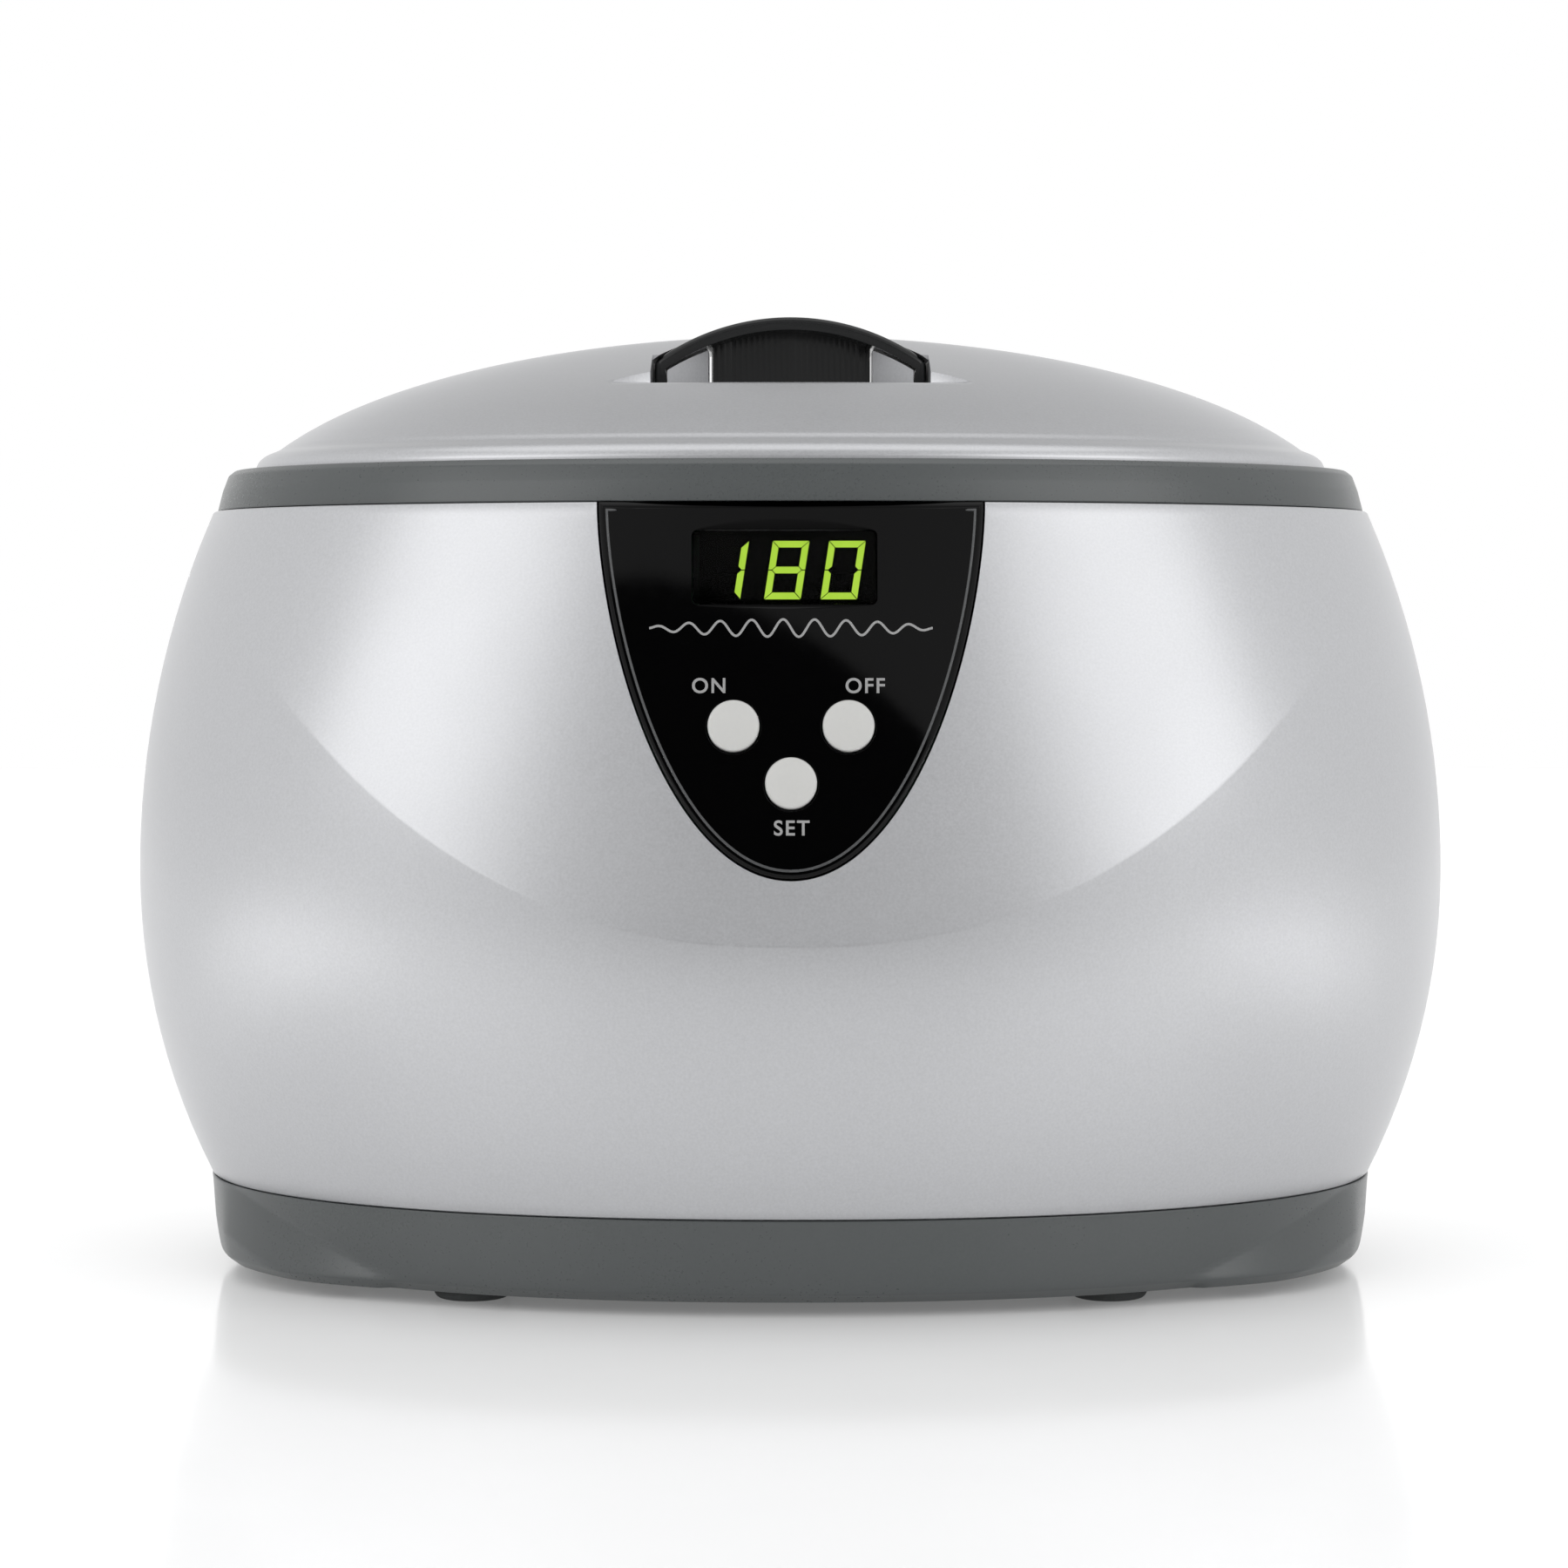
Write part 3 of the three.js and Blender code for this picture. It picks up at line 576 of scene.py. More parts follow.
BOARD = grained("circuit_board", (0.012, 0.09, 0.035), 0.35, grain=260.0, tint=0.35, bump=0.00003)
BLACK_PLASTIC = grained("black_moulding", (0.012, 0.012, 0.013), 0.5, grain=2200.0, tint=0.2)
FERRITE = grained("ferrite", (0.03, 0.03, 0.033), 0.65, grain=1600.0, tint=0.3, bump=0.00003)
SLEEVE = grained("capacitor_sleeve", (0.01, 0.014, 0.05), 0.3, grain=600.0, tint=0.1)
FILM_CASE = grained("film_capacitor_case", (0.35, 0.12, 0.02), 0.45, grain=1200.0, tint=0.1)
WIRE = grained("wire_insulation", (0.03, 0.05, 0.12), 0.45, grain=900.0, tint=0.1)
RIBBON = grained("ribbon_insulation", (0.28, 0.28, 0.29), 0.45, grain=1200.0, stretch=(1, 1, 0.1))
BASKET_PLASTIC = grained(
    "basket_plastic", (0.033, 0.038, 0.042), 0.42, grain=2000.0, tint=0.12, bump=0.000015,
)
FLOOR = grained("floor", (0.93, 0.93, 0.93), 0.12, grain=40.0, tint=0.005, polish=0.01, bump=0.0)
FLOOR.node_tree.nodes["Principled BSDF"].inputs["Emission Color"].default_value = (1, 1, 1, 1)
FLOOR.node_tree.nodes["Principled BSDF"].inputs["Emission Strength"].default_value = FLOOR_GLOW


# ---------------------------------------------------------------- housing


def housing_column(angle):
    """(half-width, height) down one column of the housing, from the foot up and back inside."""
    cosine = math.cos(angle)
    front = math.sin(angle) < -1e-9
    split = min(crease_at(cosine), HOUSING_TOP - 6)

    def half(z):
        return face_half(cosine, z) if front else barrel(z)

    edge, nick = 0.25, 0.08
    low, high = HOUSING_BOTTOM, HOUSING_TOP
    lower = [low + edge + (split - 3.2 - low - edge) * k / 26 for k in range(27)]
    around = [split + d for d in (-2.2, -1.4, -0.8, -0.35, 0.0, 0.35, 0.8, 1.4, 2.2)]
    upper = [split + 3.2 + (high - edge - split - 3.2) * k / 26 for k in range(27)]
    outer = [(half(z), z) for z in lower + around + upper]
    foot = [(half(low) - edge, low), (half(low) - nick, low + nick)]
    top = [(half(high) - nick, high - nick), (half(high) - edge, high)]
    inner = [(barrel(z) - WALL, z) for z in (high, 100.0, 80.0, 62.0, 45.0, 30.0, low)]
    inner = [(min(r, half(z) - WALL), z) for r, z in inner]
    return foot + outer + top + inner


def inlet_box(grow, low_y, high_y):
    """The recess round the power inlet, grown by a wall."""
    return rounded_box(
        "inlet_box",
        (INLET_X - INLET_HALF_X - grow, -INLET_Z - INLET_HALF_Z - grow, low_y),
        (INLET_X + INLET_HALF_X + grow, -INLET_Z + INLET_HALF_Z + grow, high_y),
        1.6 + grow,
        REARWARD,
    )


def barrel_solid(offset):
    heights = [HOUSING_BOTTOM + (HOUSING_TOP - HOUSING_BOTTOM) * k / 40 for k in range(41)]
    side = [(barrel(z) + offset, z) for z in heights]
    return oval_turned("barrel_solid", [(0, heights[0]), *side, (0, heights[-1])])


def shield(grow, steps=40):
    """The panel's outline in x and z, counter-clockwise from the top right corner."""
    right = []
    for k in range(steps + 1):
        angle = math.pi / 2 * k / steps
        half = PANEL_HALF * math.cos(angle) ** 0.98 + grow * math.cos(angle)
        drop = (HOUSING_TOP - PANEL_TIP) * math.sin(angle) ** 1.2 + grow * math.sin(angle)
        right.append([half, HOUSING_TOP - drop])
    right[0][1] += grow
    left = [(-x, z) for x, z in reversed(right[:-1])]
    return list(reversed([tuple(p) for p in right] + left))


def housing():
    around = angles(TURNS)
    columns = [housing_column(a) for a in around]
    rings = []
    for k in range(len(columns[0])):
        rings.append([oval_point(columns[i][k][0], a, columns[i][k][1]) for i, a in enumerate(around)])
    shell = loft("housing", rings, True)
    block = common(inlet_box(2.3, 56.5, 90), barrel_solid(-0.6))
    front = prism("panel_hole", shield(GAP), 45, 95, UPRIGHT)
    low, high = (INLET_X - 8.8, -INLET_Z - 5.3, 50), (INLET_X + 8.8, -INLET_Z + 5.3, 65)
    hole = rounded_box("inlet_hole", low, high, 1, REARWARD)
    add(shell, block)
    cut(shell, inlet_box(0, 59, 95), hole, front)
    place(shell, "base", "silver_paint", SILVER, "housing_shell", degrees=50)


def rim_ring():
    profile = closed_fillet([
        (86.2, 112), (88.5, 112), (88.5, RIM_BOTTOM), (90.6, RIM_BOTTOM), (89.8, 121.6),
        (88.9, 124), (87.9, RIM_TOP), (83.1, RIM_TOP), (83.1, 122.3), (79.6, 122.3),
        (79.6, 119.8), (86.2, 119.8),
    ], 0.25)
    ring = oval_turned("rim", profile)
    room = rounded_box("panel_room", (-31, -90, 100), (31, -40, RIM_BOTTOM - 0.05))
    cut(ring, room)
    place(ring, "base", "dark_grey_plastic", DARK_GREY, "rim_ring")


def base_tray():
    wall = [(90.4 + 0.2 * k**0.72, 3.4 + 0.65 * k) for k in range(17)]
    profile = filleted([
        (0, TRAY_BOTTOM), (88.6, TRAY_BOTTOM), *wall, (TRAY_HALF, TRAY_TOP), (89.3, TRAY_TOP),
        (89.2, 19.5), (87, 19.5), (86.8, 6.4), (85.6, 5.4), (0, 5.4),
    ], 0.3)
    rings = []
    for r, z in profile:
        rings.append([corner_facet(oval_point(r, a, z)) for a in angles(TURNS)])
    tray = loft("base_tray_shell", rings, False)
    tools = []
    for k in range(5):
        x = -62 + 8 * k
        tools.append(rounded_box("vent", (x - 1.3, -14, 0), (x + 1.3, 14, 9), 1.25))
    for sx in (-1, 1):
        for sy in (-1, 1):
            here = Matrix.Translation((sx * SCREW_X, sy * SCREW_Y, 0))
            bore = [(0, 0), (3.6, 0), (3.6, 5.0), (1.8, 5.0), (1.8, 12), (0, 12)]
            tools.append(turned("bore", bore, here))
            seat = Matrix.Translation((sx * FOOT_X, sy * FOOT_Y, 0))
            tools.append(turned("foot_hole", [(0, 0), (2.6, 0), (2.6, 9), (0, 9)], seat))
    cut(tray, merged("tray_tools", tools))
    place(tray, "base", "dark_grey_plastic", DARK_GREY, "base_tray")


def corner_facet(point):
    """Fills out the four lower corners of the tray, below a line that rises towards each end."""
    x, y, z = point
    rise = CORNER_Z + (abs(x) - CORNER_X) * CORNER_SLOPE
    reach = math.hypot(x / TRAY_HALF, y / (TRAY_HALF - OVAL_STEP))
    if abs(x) < CORNER_X or z >= rise or reach < 0.8 or abs(y) < CORNER_Y:
        return point
    share = min((rise - z) * 0.55, CORNER_PUSH) * min((abs(y) - CORNER_Y) / 14, 1.0)
    return (x + math.copysign(share * 0.2, x), y + math.copysign(share, y), z)


def feet():
    profile = filleted([
        (0, 0), (5.2, 0), (5.8, 0.7), (5.8, TRAY_BOTTOM - GAP), (2.2, TRAY_BOTTOM - GAP), (2.2, 5.8),
        (3.2, 5.8), (2.6, 7.6), (0, 7.6),
    ], 0.4)
    for name, sx, sy in (
        ("front_left", -1, -1), ("front_right", 1, -1), ("rear_left", -1, 1), ("rear_right", 1, 1),
    ):
        here = Matrix.Translation((sx * FOOT_X, sy * FOOT_Y, 0))
        foot = turned(f"pad_{name}", profile, here)
        place(foot, "base", "rubber", RUBBER, f"foot_{name}")
        spot = Matrix.Translation((sx * SCREW_X, sy * SCREW_Y, 0))
        screw = cross_screw(f"screw_{name}", 3.4, 5.2, 3.0, 1.4, 22.5, spot)
        place(screw, "base", "zinc_steel", ZINC, f"base_screw_{name}")


def cross_screw(name, face, seat, head, shank, tip, here):
    """A pan-head screw with a cross recess, its face low and its tip high."""
    profile = filleted([
        (0, face), (head * 0.55, face), (head, face + 0.7), (head, seat), (shank, seat),
        (shank, tip - 1.2), (0, tip),
    ], 0.3)
    screw = turned(name, profile, here, 32)
    for turn in (0, math.pi / 2):
        slot = [(-1.7, -0.35), (1.7, -0.35), (1.7, 0.35), (-1.7, 0.35)]
        cut(screw, prism("cross", slot, face - 1, face + 0.9, here @ Matrix.Rotation(turn, 4, "Z")))
    return screw


# ---------------------------------------------------------------- tank and basket


def tank():
    centre_r, centre_z = TANK_BEND - TANK_CORNER, TANK_FLOOR + TANK_CORNER

    def bend(radius):
        turns = [math.pi / 2 * k / 8 for k in range(9)]
        return [(centre_r + radius * math.sin(a), centre_z - radius * math.cos(a)) for a in turns]

    outer, under = TANK_MOUTH + TANK_SHEET, TANK_FLANGE - TANK_SHEET
    outside = filleted([(outer, 118), (outer, 121.4), (79, under), (82.6, under)], 1)
    inside = filleted([
        (82.6, TANK_FLANGE), (78.6, TANK_FLANGE), (TANK_MOUTH, 122.6), (TANK_MOUTH, 117),
    ], 1.4)
    profile = [(0, TANK_FLOOR - TANK_SHEET), *bend(TANK_CORNER + TANK_SHEET), *outside]
    profile += [*inside, *reversed(bend(TANK_CORNER)), (0, TANK_FLOOR)]
    pan = oval_turned("tank_pan", profile)
    place(pan, "base", "stainless_steel", STEEL, "tank")


def capsule(width, length, middle=(0.0, 0.0)):
    return rounded_rectangle(width, length, width / 2 - 0.01, middle)


def basket():
    profile = closed_fillet([
        (0.01, 76), (66, 76), (70, 78.5), (72.6, 110), (74.2, 110.4), (74.2, 112.6), (70.6, 112.6),
        (68.2, 79.6), (65, 77.8), (0.01, 77.8),
    ], 0.8)
    body = oval_turned("basket_body", [p for p in profile if p[0] > 0.0])
    tools = []
    for k in range(9):
        x = -48 + 12 * k
        half = 33 * math.sqrt(1 - (x / 68) ** 2)
        tools.append(prism("floor_slot", capsule(SLOT_WIDTH, 2 * half, (x, 0)), 70, 79))
    for k in range(6):
        x = -40 + 16 * k
        tools.append(prism("side_slot", capsule(SLOT_WIDTH, 22, (x, 95)), -60, 60, UPRIGHT))
    cut(body, merged("basket_tools", tools))
    for side in (-1, 1):
        outline = rounded_rectangle(26, 16, 4, (0, 113))
        sideways = Matrix.Rotation(math.pi / 2, 4, "Z") @ UPRIGHT
        low, high = (69.4, 72) if side > 0 else (-72, -69.4)
        handle = prism("handle", outline, low, high, sideways)
        hole = prism("hole", rounded_rectangle(19, 5.6, 2.6, (0, 116)), low - 3, high + 3, sideways)
        cut(handle, hole)
        bevelled(handle, 0.5)
        add(body, handle)
    place(body, "basket", "basket_plastic", BASKET_PLASTIC, "basket")


# ---------------------------------------------------------------- control panel


def skin(name, rim, holes, front, back, spacing=1.6):
    """A thin curved sheet. rim is the outline's rings and holes are rings, as (points, proud) lists.

    Each list starts at the back edge and ends at the edge of the smooth front.
    """
    boundary = [rim[-1], *[hole[-1] for hole in holes]]
    flat, edges = [], []
    for outline, _ in boundary:
        start = len(flat)
        flat += [Vector(p) for p in outline]
        edges += [(start + i, start + (i + 1) % len(outline)) for i in range(len(outline))]
    bound = [p for outline, _ in boundary for p in outline]
    xs, ys = [p[0] for p in rim[0][0]], [p[1] for p in rim[0][0]]
    y = min(ys) + spacing
    while y < max(ys):
        x = min(xs) + spacing
        while x < max(xs):
            near = min((x - px) ** 2 + (y - py) ** 2 for px, py in bound) < (0.5 * spacing) ** 2
            if within((x, y), boundary[0][0]) and not near:
                flat.append(Vector((x, y)))
            x += spacing
        y += spacing
    points, _, triangles, _, _, _ = delaunay_2d_cdt(flat, edges, [], 1, 1e-6)
    kept = []
    for triangle in triangles:
        middle = sum((points[i] for i in triangle), Vector((0, 0))) / 3
        if not any(within(middle, hole[-1][0]) for hole in holes):
            kept.append(list(triangle))
    verts = [front(p[0], p[1], rim[-1][1]) for p in points]
    count = len(verts)
    verts += [back(p[0], p[1]) for p in points]
    faces = kept + [[count + i for i in reversed(t)] for t in kept]
    for rings in [rim, *holes]:
        outline = rings[-1][0]
        levels = [[back(x, y) for x, y in outline]]
        levels += [[front(x, y, proud) for x, y in ring] for ring, proud in rings]
        for low, high in zip(levels, levels[1:]):
            start = len(verts)
            size = len(low)
            verts += low + high
            for i in range(size):
                j = (i + 1) % size
                faces.append([start + i, start + j, start + size + j, start + size + i])
    return mesh_object(name, verts, faces)


def even_shading(obj, proud):
    """Gives the flush front of a skin the true curve's normals, so that its gloss runs smoothly."""
    mesh = obj.data
    step = 0.2
    normals = [Vector(corner.vector) for corner in mesh.corner_normals]
    for polygon in mesh.polygons:
        x, _, z = polygon.center / MM
        here = Vector(face_point(x, z, proud)) * MM
        if (here - polygon.center).length > 0.03 * MM or polygon.normal.y > -0.5:
            continue
        for corner in polygon.loop_indices:
            x, _, z = mesh.vertices[mesh.loops[corner].vertex_index].co / MM
            across = Vector(face_point(x + step, z, proud)) - Vector(face_point(x - step, z, proud))
            up = Vector(face_point(x, z + step, proud)) - Vector(face_point(x, z - step, proud))
            normals[corner] = across.cross(up).normalized()
    mesh.normals_split_custom_set(normals)


def within(point, outline):
    x, y = point
    inside = False
    for (ax, ay), (bx, by) in zip(outline, [*outline[1:], outline[0]]):
        if (ay > y) != (by > y) and x < (bx - ax) * (y - ay) / (by - ay) + ax:
            inside = not inside
    return inside


def to_face(points):
    """Panel x and y, up the leaning face, as the x and z that the face is worked out from."""
    return [(x, PANEL_Z + y * math.cos(LEAN)) for x, y in points]


def control_panel():
    outline = shield(0)
    rim = [
        (outline, -1.0), (outline, 0.05), (inset(outline, 0.12), 0.2), (inset(outline, 0.6), 0.5),
        (inset(outline, 0.9), PANEL_PROUD),
    ]
    window = rounded_rectangle(WINDOW_WIDTH, WINDOW_HEIGHT, 0.9, (WINDOW_X, WINDOW_Y))
    openings = [(window, 0.5, 0.12)]
    openings += [(circle(KEY_RADIUS + GAP * 0.6, middle), 0.4, 0.15) for middle in KEYS.values()]
    holes = []
    for edge, high, chamfer in openings:
        wide = to_face(inset(edge, -chamfer))
        holes.append([(to_face(edge), -0.6), (to_face(edge), high), (wide, PANEL_PROUD)])
    panel = skin("panel_face", rim, holes, face_point, lambda x, z: face_point(x, z, -1.6))
    place(panel, "base", "black_gloss", BLACK_GLOSS, "control_panel", degrees=28)
    even_shading(panel, PANEL_PROUD)


def panel_bead():
    """The thin raised line that runs round the panel just inside its bevel."""
    section = [
        (0.98, 0.4), (0.98, 0.62), (1.06, 0.74), (1.18, 0.78), (1.3, 0.74), (1.38, 0.62), (1.38, 0.4),
    ]
    rings = []
    for distance, proud in section:
        rings.append([face_point(x, z, proud) for x, z in inset(shield(0), distance)])
    bead = loft("panel_bead", rings, True)
    # The bead's lighter material paints the highlight line that runs round the panel.
    place(bead, "base", "black_gloss", BEAD_HIGHLIGHT, degrees=60)


def display_window():
    width, height = WINDOW_WIDTH - GAP, WINDOW_HEIGHT - GAP
    outer = to_face(rounded_rectangle(width, height, 0.8, (WINDOW_X, WINDOW_Y)))
    rim = [(outer, -0.9), (outer, 0.32), (inset(outer, 0.12), LENS_PROUD)]
    lens = skin("window_lens", rim, [], face_point, lambda x, z: face_point(x, z, -1.4))
    place(lens, "base", "smoked_window", SMOKED, "display_window", degrees=28)
    even_shading(lens, LENS_PROUD)


def segment_shapes():
    """The outlines of the seven mitred segments of one upright digit, counter-clockwise."""
    w, h, t, g = DIGIT_HALF_X, DIGIT_HALF_Y, DIGIT_STROKE, DIGIT_GAP
    top = [(w - g, h), (g - w, h), (g + t - w, h - t), (w - t - g, h - t)]
    right = [(w, g), (w, h - g), (w - t, h - t - g), (w - t, t / 2 + g), (w - t / 2, g)]
    middle = [
        (w - t / 2 - g, 0), (w - t - g, t / 2), (t + g - w, t / 2), (t / 2 + g - w, 0),
        (t + g - w, -t / 2), (w - t - g, -t / 2),
    ]

    def turned_over(points, sx, sy):
        flipped = [(sx * x, sy * y) for x, y in points]
        return flipped if sx * sy > 0 else flipped[::-1]

    return {
        "a": top, "b": right, "c": turned_over(right, 1, -1), "d": turned_over(top, 1, -1),
        "e": turned_over(right, -1, -1), "f": turned_over(right, -1, 1), "g": middle,
    }


def led_display():
    body = rounded_box("led_body", (-13.2, 12.2, -7.7), (12.4, 23.4, -2.3), 0.4, PANEL_PLACE)
    parts, lit = [body], []
    for middle, shown in DIGITS:
        for name, outline in segment_shapes().items():
            shape = [(middle + x + y * DIGIT_SLANT, WINDOW_Y + y) for x, y in outline]
            parts.append(prism("segment", shape, -2.4, -2.15, PANEL_PLACE))
            lit.append(name in shown)
    counts = [len(part.data.polygons) for part in parts]
    display = merged("led_digits", parts)
    display.data.materials.append(SEGMENT_BODY)
    display.data.materials.append(SEGMENT_LIT)
    index = counts[0]
    for count, on in zip(counts[1:], lit):
        for k in range(index, index + count):
            display.data.polygons[k].material_index = 1 if on else 0
        index += count
    place(display, "base", "black_moulding", SEGMENT_BODY, "led_display", degrees=20)


def key(name, middle):
    r = KEY_RADIUS
    profile = [(0, -3), (1.7, -3), (1.7, -1.2), (r, -1.2), (r, 0.9)]
    for k in range(7):
        a = math.pi / 2 * k / 6
        profile.append((r - 0.45 + 0.45 * math.cos(a), 0.95 + 0.45 * math.sin(a)))
    for k in range(1, 9):
        x = (r - 0.5) * (1 - k / 8)
        profile.append((x, 1.4 + 0.28 * (1 - (x / (r - 0.5)) ** 2)))
    here = PANEL_PLACE @ Matrix.Translation((*middle, 0))
    cap = turned(f"{name}_cap", profile, here, 96)
    place(cap, f"{name}_key", "grey_key", KEY_GREY, f"{name}_button", degrees=50)


def label(text, x, z):
    """A printed word, lying on the panel."""
    curve = bpy.data.curves.new("label", "FONT")
    curve.body = text
    curve.align_x = "CENTER"
    curve.size = LABEL_HEIGHT / 0.72
    curve.space_character = 1.16
    curve.offset = 0.05
    writing = bpy.data.objects.new("label", curve)
    bpy.context.scene.collection.objects.link(writing)
    graph = bpy.context.evaluated_depsgraph_get()
    mesh = bpy.data.meshes.new_from_object(writing.evaluated_get(graph))
    bpy.data.objects.remove(writing)
    points = [v.co.copy() for v in mesh.vertices]
    faces = [tuple(p.vertices) for p in mesh.polygons]
    middle = (min(p.x for p in points) + max(p.x for p in points)) / 2
    flat = [(x + p.x - middle, z - LABEL_HEIGHT / 2 + p.y) for p in points]
    printed(f"label_{text.lower()}", flat, faces)


def printed(name, flat, faces):
    """Ink on the panel's face: flat x and z points laid on it, just thick enough to show."""
    count = len(flat)
    top = [face_point(x, z, INK_PROUD) for x, z in flat]
    under = [face_point(x, z, PANEL_PROUD) for x, z in flat]
    edges = {}
    for face in faces:
        for a, b in zip(face, (*face[1:], face[0])):
            edges[(a, b)] = True
    sides = [(b, a, count + a, count + b) for a, b in edges if (b, a) not in edges]
    all_faces = list(faces) + [tuple(count + i for i in reversed(f)) for f in faces] + sides
    ink = mesh_object(name, top + under, all_faces)
    place(ink, "base", "grey_key", PRINT_GREY, degrees=20)


def wave_line():
    """A printed sine wave under the display."""
    flat, faces = [], []
    steps = 240
    for k in range(steps + 1):
        t = k / steps
        x = -WAVE_HALF + 2 * WAVE_HALF * t
        swell = WAVE_HEIGHT * math.sin(math.pi * t) ** 0.6
        turn = 2 * math.pi * WAVE_COUNT * t
        slope = swell * math.cos(turn) * math.pi * WAVE_COUNT / WAVE_HALF
        z = WAVE_Z + swell * math.sin(turn)
        length = math.hypot(1, slope)
        dx, dz = -slope / length * WAVE_WIDTH / 2, WAVE_WIDTH / 2 / length
        flat += [(x + dx, z + dz), (x - dx, z - dz)]
    for k in range(steps):
        faces.append((2 * k + 1, 2 * k + 3, 2 * k + 2, 2 * k))
    printed("printed_wave", flat, faces)


# ---------------------------------------------------------------- lid and grip


def dome_height(r):
    return LID_CROWN - DOME_RISE * (1 - math.sqrt(1 - (r / DOME_REACH) ** 2))


def lid_outside():
    edge = filleted([
        (84.6, LID_BOTTOM), (84.6, 125.4), (84.2, 126.3), (83.3, 127.1), (82.2, 127.6), (81.1, 128.0),
        (79.8, dome_height(79.8)), (77, dome_height(77)), (74, dome_height(74)),
    ], 0.6, 5)
    dome = [72.0 * (1 - (k / 44) ** 1.15) for k in range(44)]
    return edge + [(r, dome_height(r)) for r in dome] + [(0, LID_CROWN)]


def lid_oval(name, profile):
    return oval_turned(name, profile, LID_TURN, 2.0)


def recess_tools(grow):
    """The two scoops, the seat of the grip between them and the finger wells."""
    floor = RECESS_FLOOR - grow
    bowl = [(0, floor), (0.96, floor)]
    for k in range(1, 7):
        a = math.pi / 2 * k / 6
        bowl.append((0.96 + 0.04 * math.sin(a), floor + 0.6 * (1 - math.cos(a))))
    bowl += [(1, 160), (0, 160)]
    half, deep = GRIP_X + GAP + grow, GRIP_Y + GAP + grow
    tools = []
    for side in (-1, 1):
        stretch = Matrix.Diagonal((SCOOP_X + grow, SCOOP_HALF_Y + grow, 1, 1))
        tools.append(turned("scoop", bowl, Matrix.Translation((0, side * SCOOP_Y, 0)) @ stretch, 128))
        near, far = sorted((side * GRIP_Y, side * SCOOP_Y))
        tools.append(rounded_box("reach", (-half, near, floor), (half, far, 160)))
    tools.append(prism("seat", arch(GRIP_RADIUS + GAP + grow, half, floor), -deep, deep, UPRIGHT))
    low, high = WELL_FLOOR - grow, floor + 3
    x, y = 18.9 + grow, 20 + grow
    tools.append(rounded_box("well", (-x, -y, low), (x, y, high), 4))
    return tools


def cheeks():
    """The flared light cheeks left and right of the grip's dark web."""
    result = []
    for side in (-1, 1):
        plan = [
            (side * (WEB_X + GAP), -CHEEK_Y), (side * 19.2, -GRIP_Y + 0.6),
            (side * 19.2, GRIP_Y - 0.6), (side * (WEB_X + GAP), CHEEK_Y),
        ]
        wedge = prism("cheek", plan if side > 0 else plan[::-1], WELL_FLOOR - 1, 160)
        under_grip = circle(GRIP_RADIUS - GRIP_SHEET - GAP, (0, GRIP_AXIS_Z), 128)
        ceiling = prism("ceiling", under_grip, -30, 30, UPRIGHT)
        result.append(common(wedge, ceiling))
    return result


def lid():
    outside = lid_outside()
    inside = [(r, dome_height(r) - DOME_SHEET) for r in (0, 10, 24, 38, 50, 60, 68, 72)]
    profile = filleted([
        (74.2, 128), (74.2, 122), (76.2, 122), (76.2, LID_BOTTOM), (80, LID_BOTTOM),
    ], 0.7)
    shell = lid_oval("lid_dome", [*profile, *outside, *inside])
    sunk = [(r, dome_height(r) - 0.4) for r in (78, 74, 68, 60, 50, 38, 24, 10, 0)]
    solid = lid_oval("solid_dome", [(0, 126), (78, 126), *sunk])
    tools = recess_tools(2.2)
    backing = common(add(tools[0], *tools[1:]), solid)
    add(shell, backing)
    cut(shell, *recess_tools(0))
    add(shell, *cheeks())
    for side in (-1, 1):
        here = Matrix.Translation((GRIP_SCREW_X * side, 0, 0))
        hole = turned("hole", [(0, 120), (1.6, 120), (1.6, 136), (0, 136)], here)
        cut(shell, hole)
    place(shell, "lid", "silver_paint", SILVER, "lid_shell", degrees=50)


def arch(radius, half, low, steps=48):
    """An arch in x and z: straight sides below a round crown."""
    turn = math.asin(half / radius)
    points = [(half, low)]
    for k in range(steps + 1):
        a = math.pi / 2 - turn + 2 * turn * k / steps
        points.append((radius * math.cos(a), GRIP_AXIS_Z + radius * math.sin(a)))
    points.append((-half, low))
    return points


def grip():
    cap = prism("grip", arch(GRIP_RADIUS, GRIP_X, RECESS_FLOOR + GAP), -GRIP_Y, GRIP_Y, UPRIGHT)
    bevelled(cap, 1.1, 5)
    hollow = prism("hollow", arch(GRIP_RADIUS - GRIP_SHEET, GRIP_X - 1.7, 100), -20, 20, UPRIGHT)
    cut(cap, hollow)
    pitch, depth = 0.9, 0.06
    reach = WEB_X - 0.6
    count = int(2 * reach / pitch)
    near = []
    for k in range(count + 1):
        x = -reach + 2 * reach * k / count
        near += [(x - pitch / 4, -WEB_Y), (x, -WEB_Y + depth)]
    near.append((WEB_X, -WEB_Y))
    far = [(-x, -y) for x, y in near]
    web = prism("web", near + far, WELL_FLOOR + GAP, 160)
    common(web, prism("web_top", arch(GRIP_RADIUS - 1, GRIP_X, 100), -20, 20, UPRIGHT))
    add(cap, web)
    for side in (-1, 1):
        here = Matrix.Translation((GRIP_SCREW_X * side, 0, 0))
        hole = turned("hole", [(0, 120), (1.5, 120), (1.5, 142), (0, 142)], here)
        cut(cap, hole)
    place(cap, "lid", "black_gloss", GRIP_BLACK, "grip_cap", degrees=30)
    for name, side in (("left", -1), ("right", 1)):
        here = Matrix.Translation((GRIP_SCREW_X * side, 0, 0))
        screw = cross_screw(f"grip_screw_{name}_head", 128.9, 131, 2.7, 1.2, 140.5, here)
        place(screw, "lid", "zinc_steel", ZINC, f"grip_screw_{name}")


# ---------------------------------------------------------------- power inlet


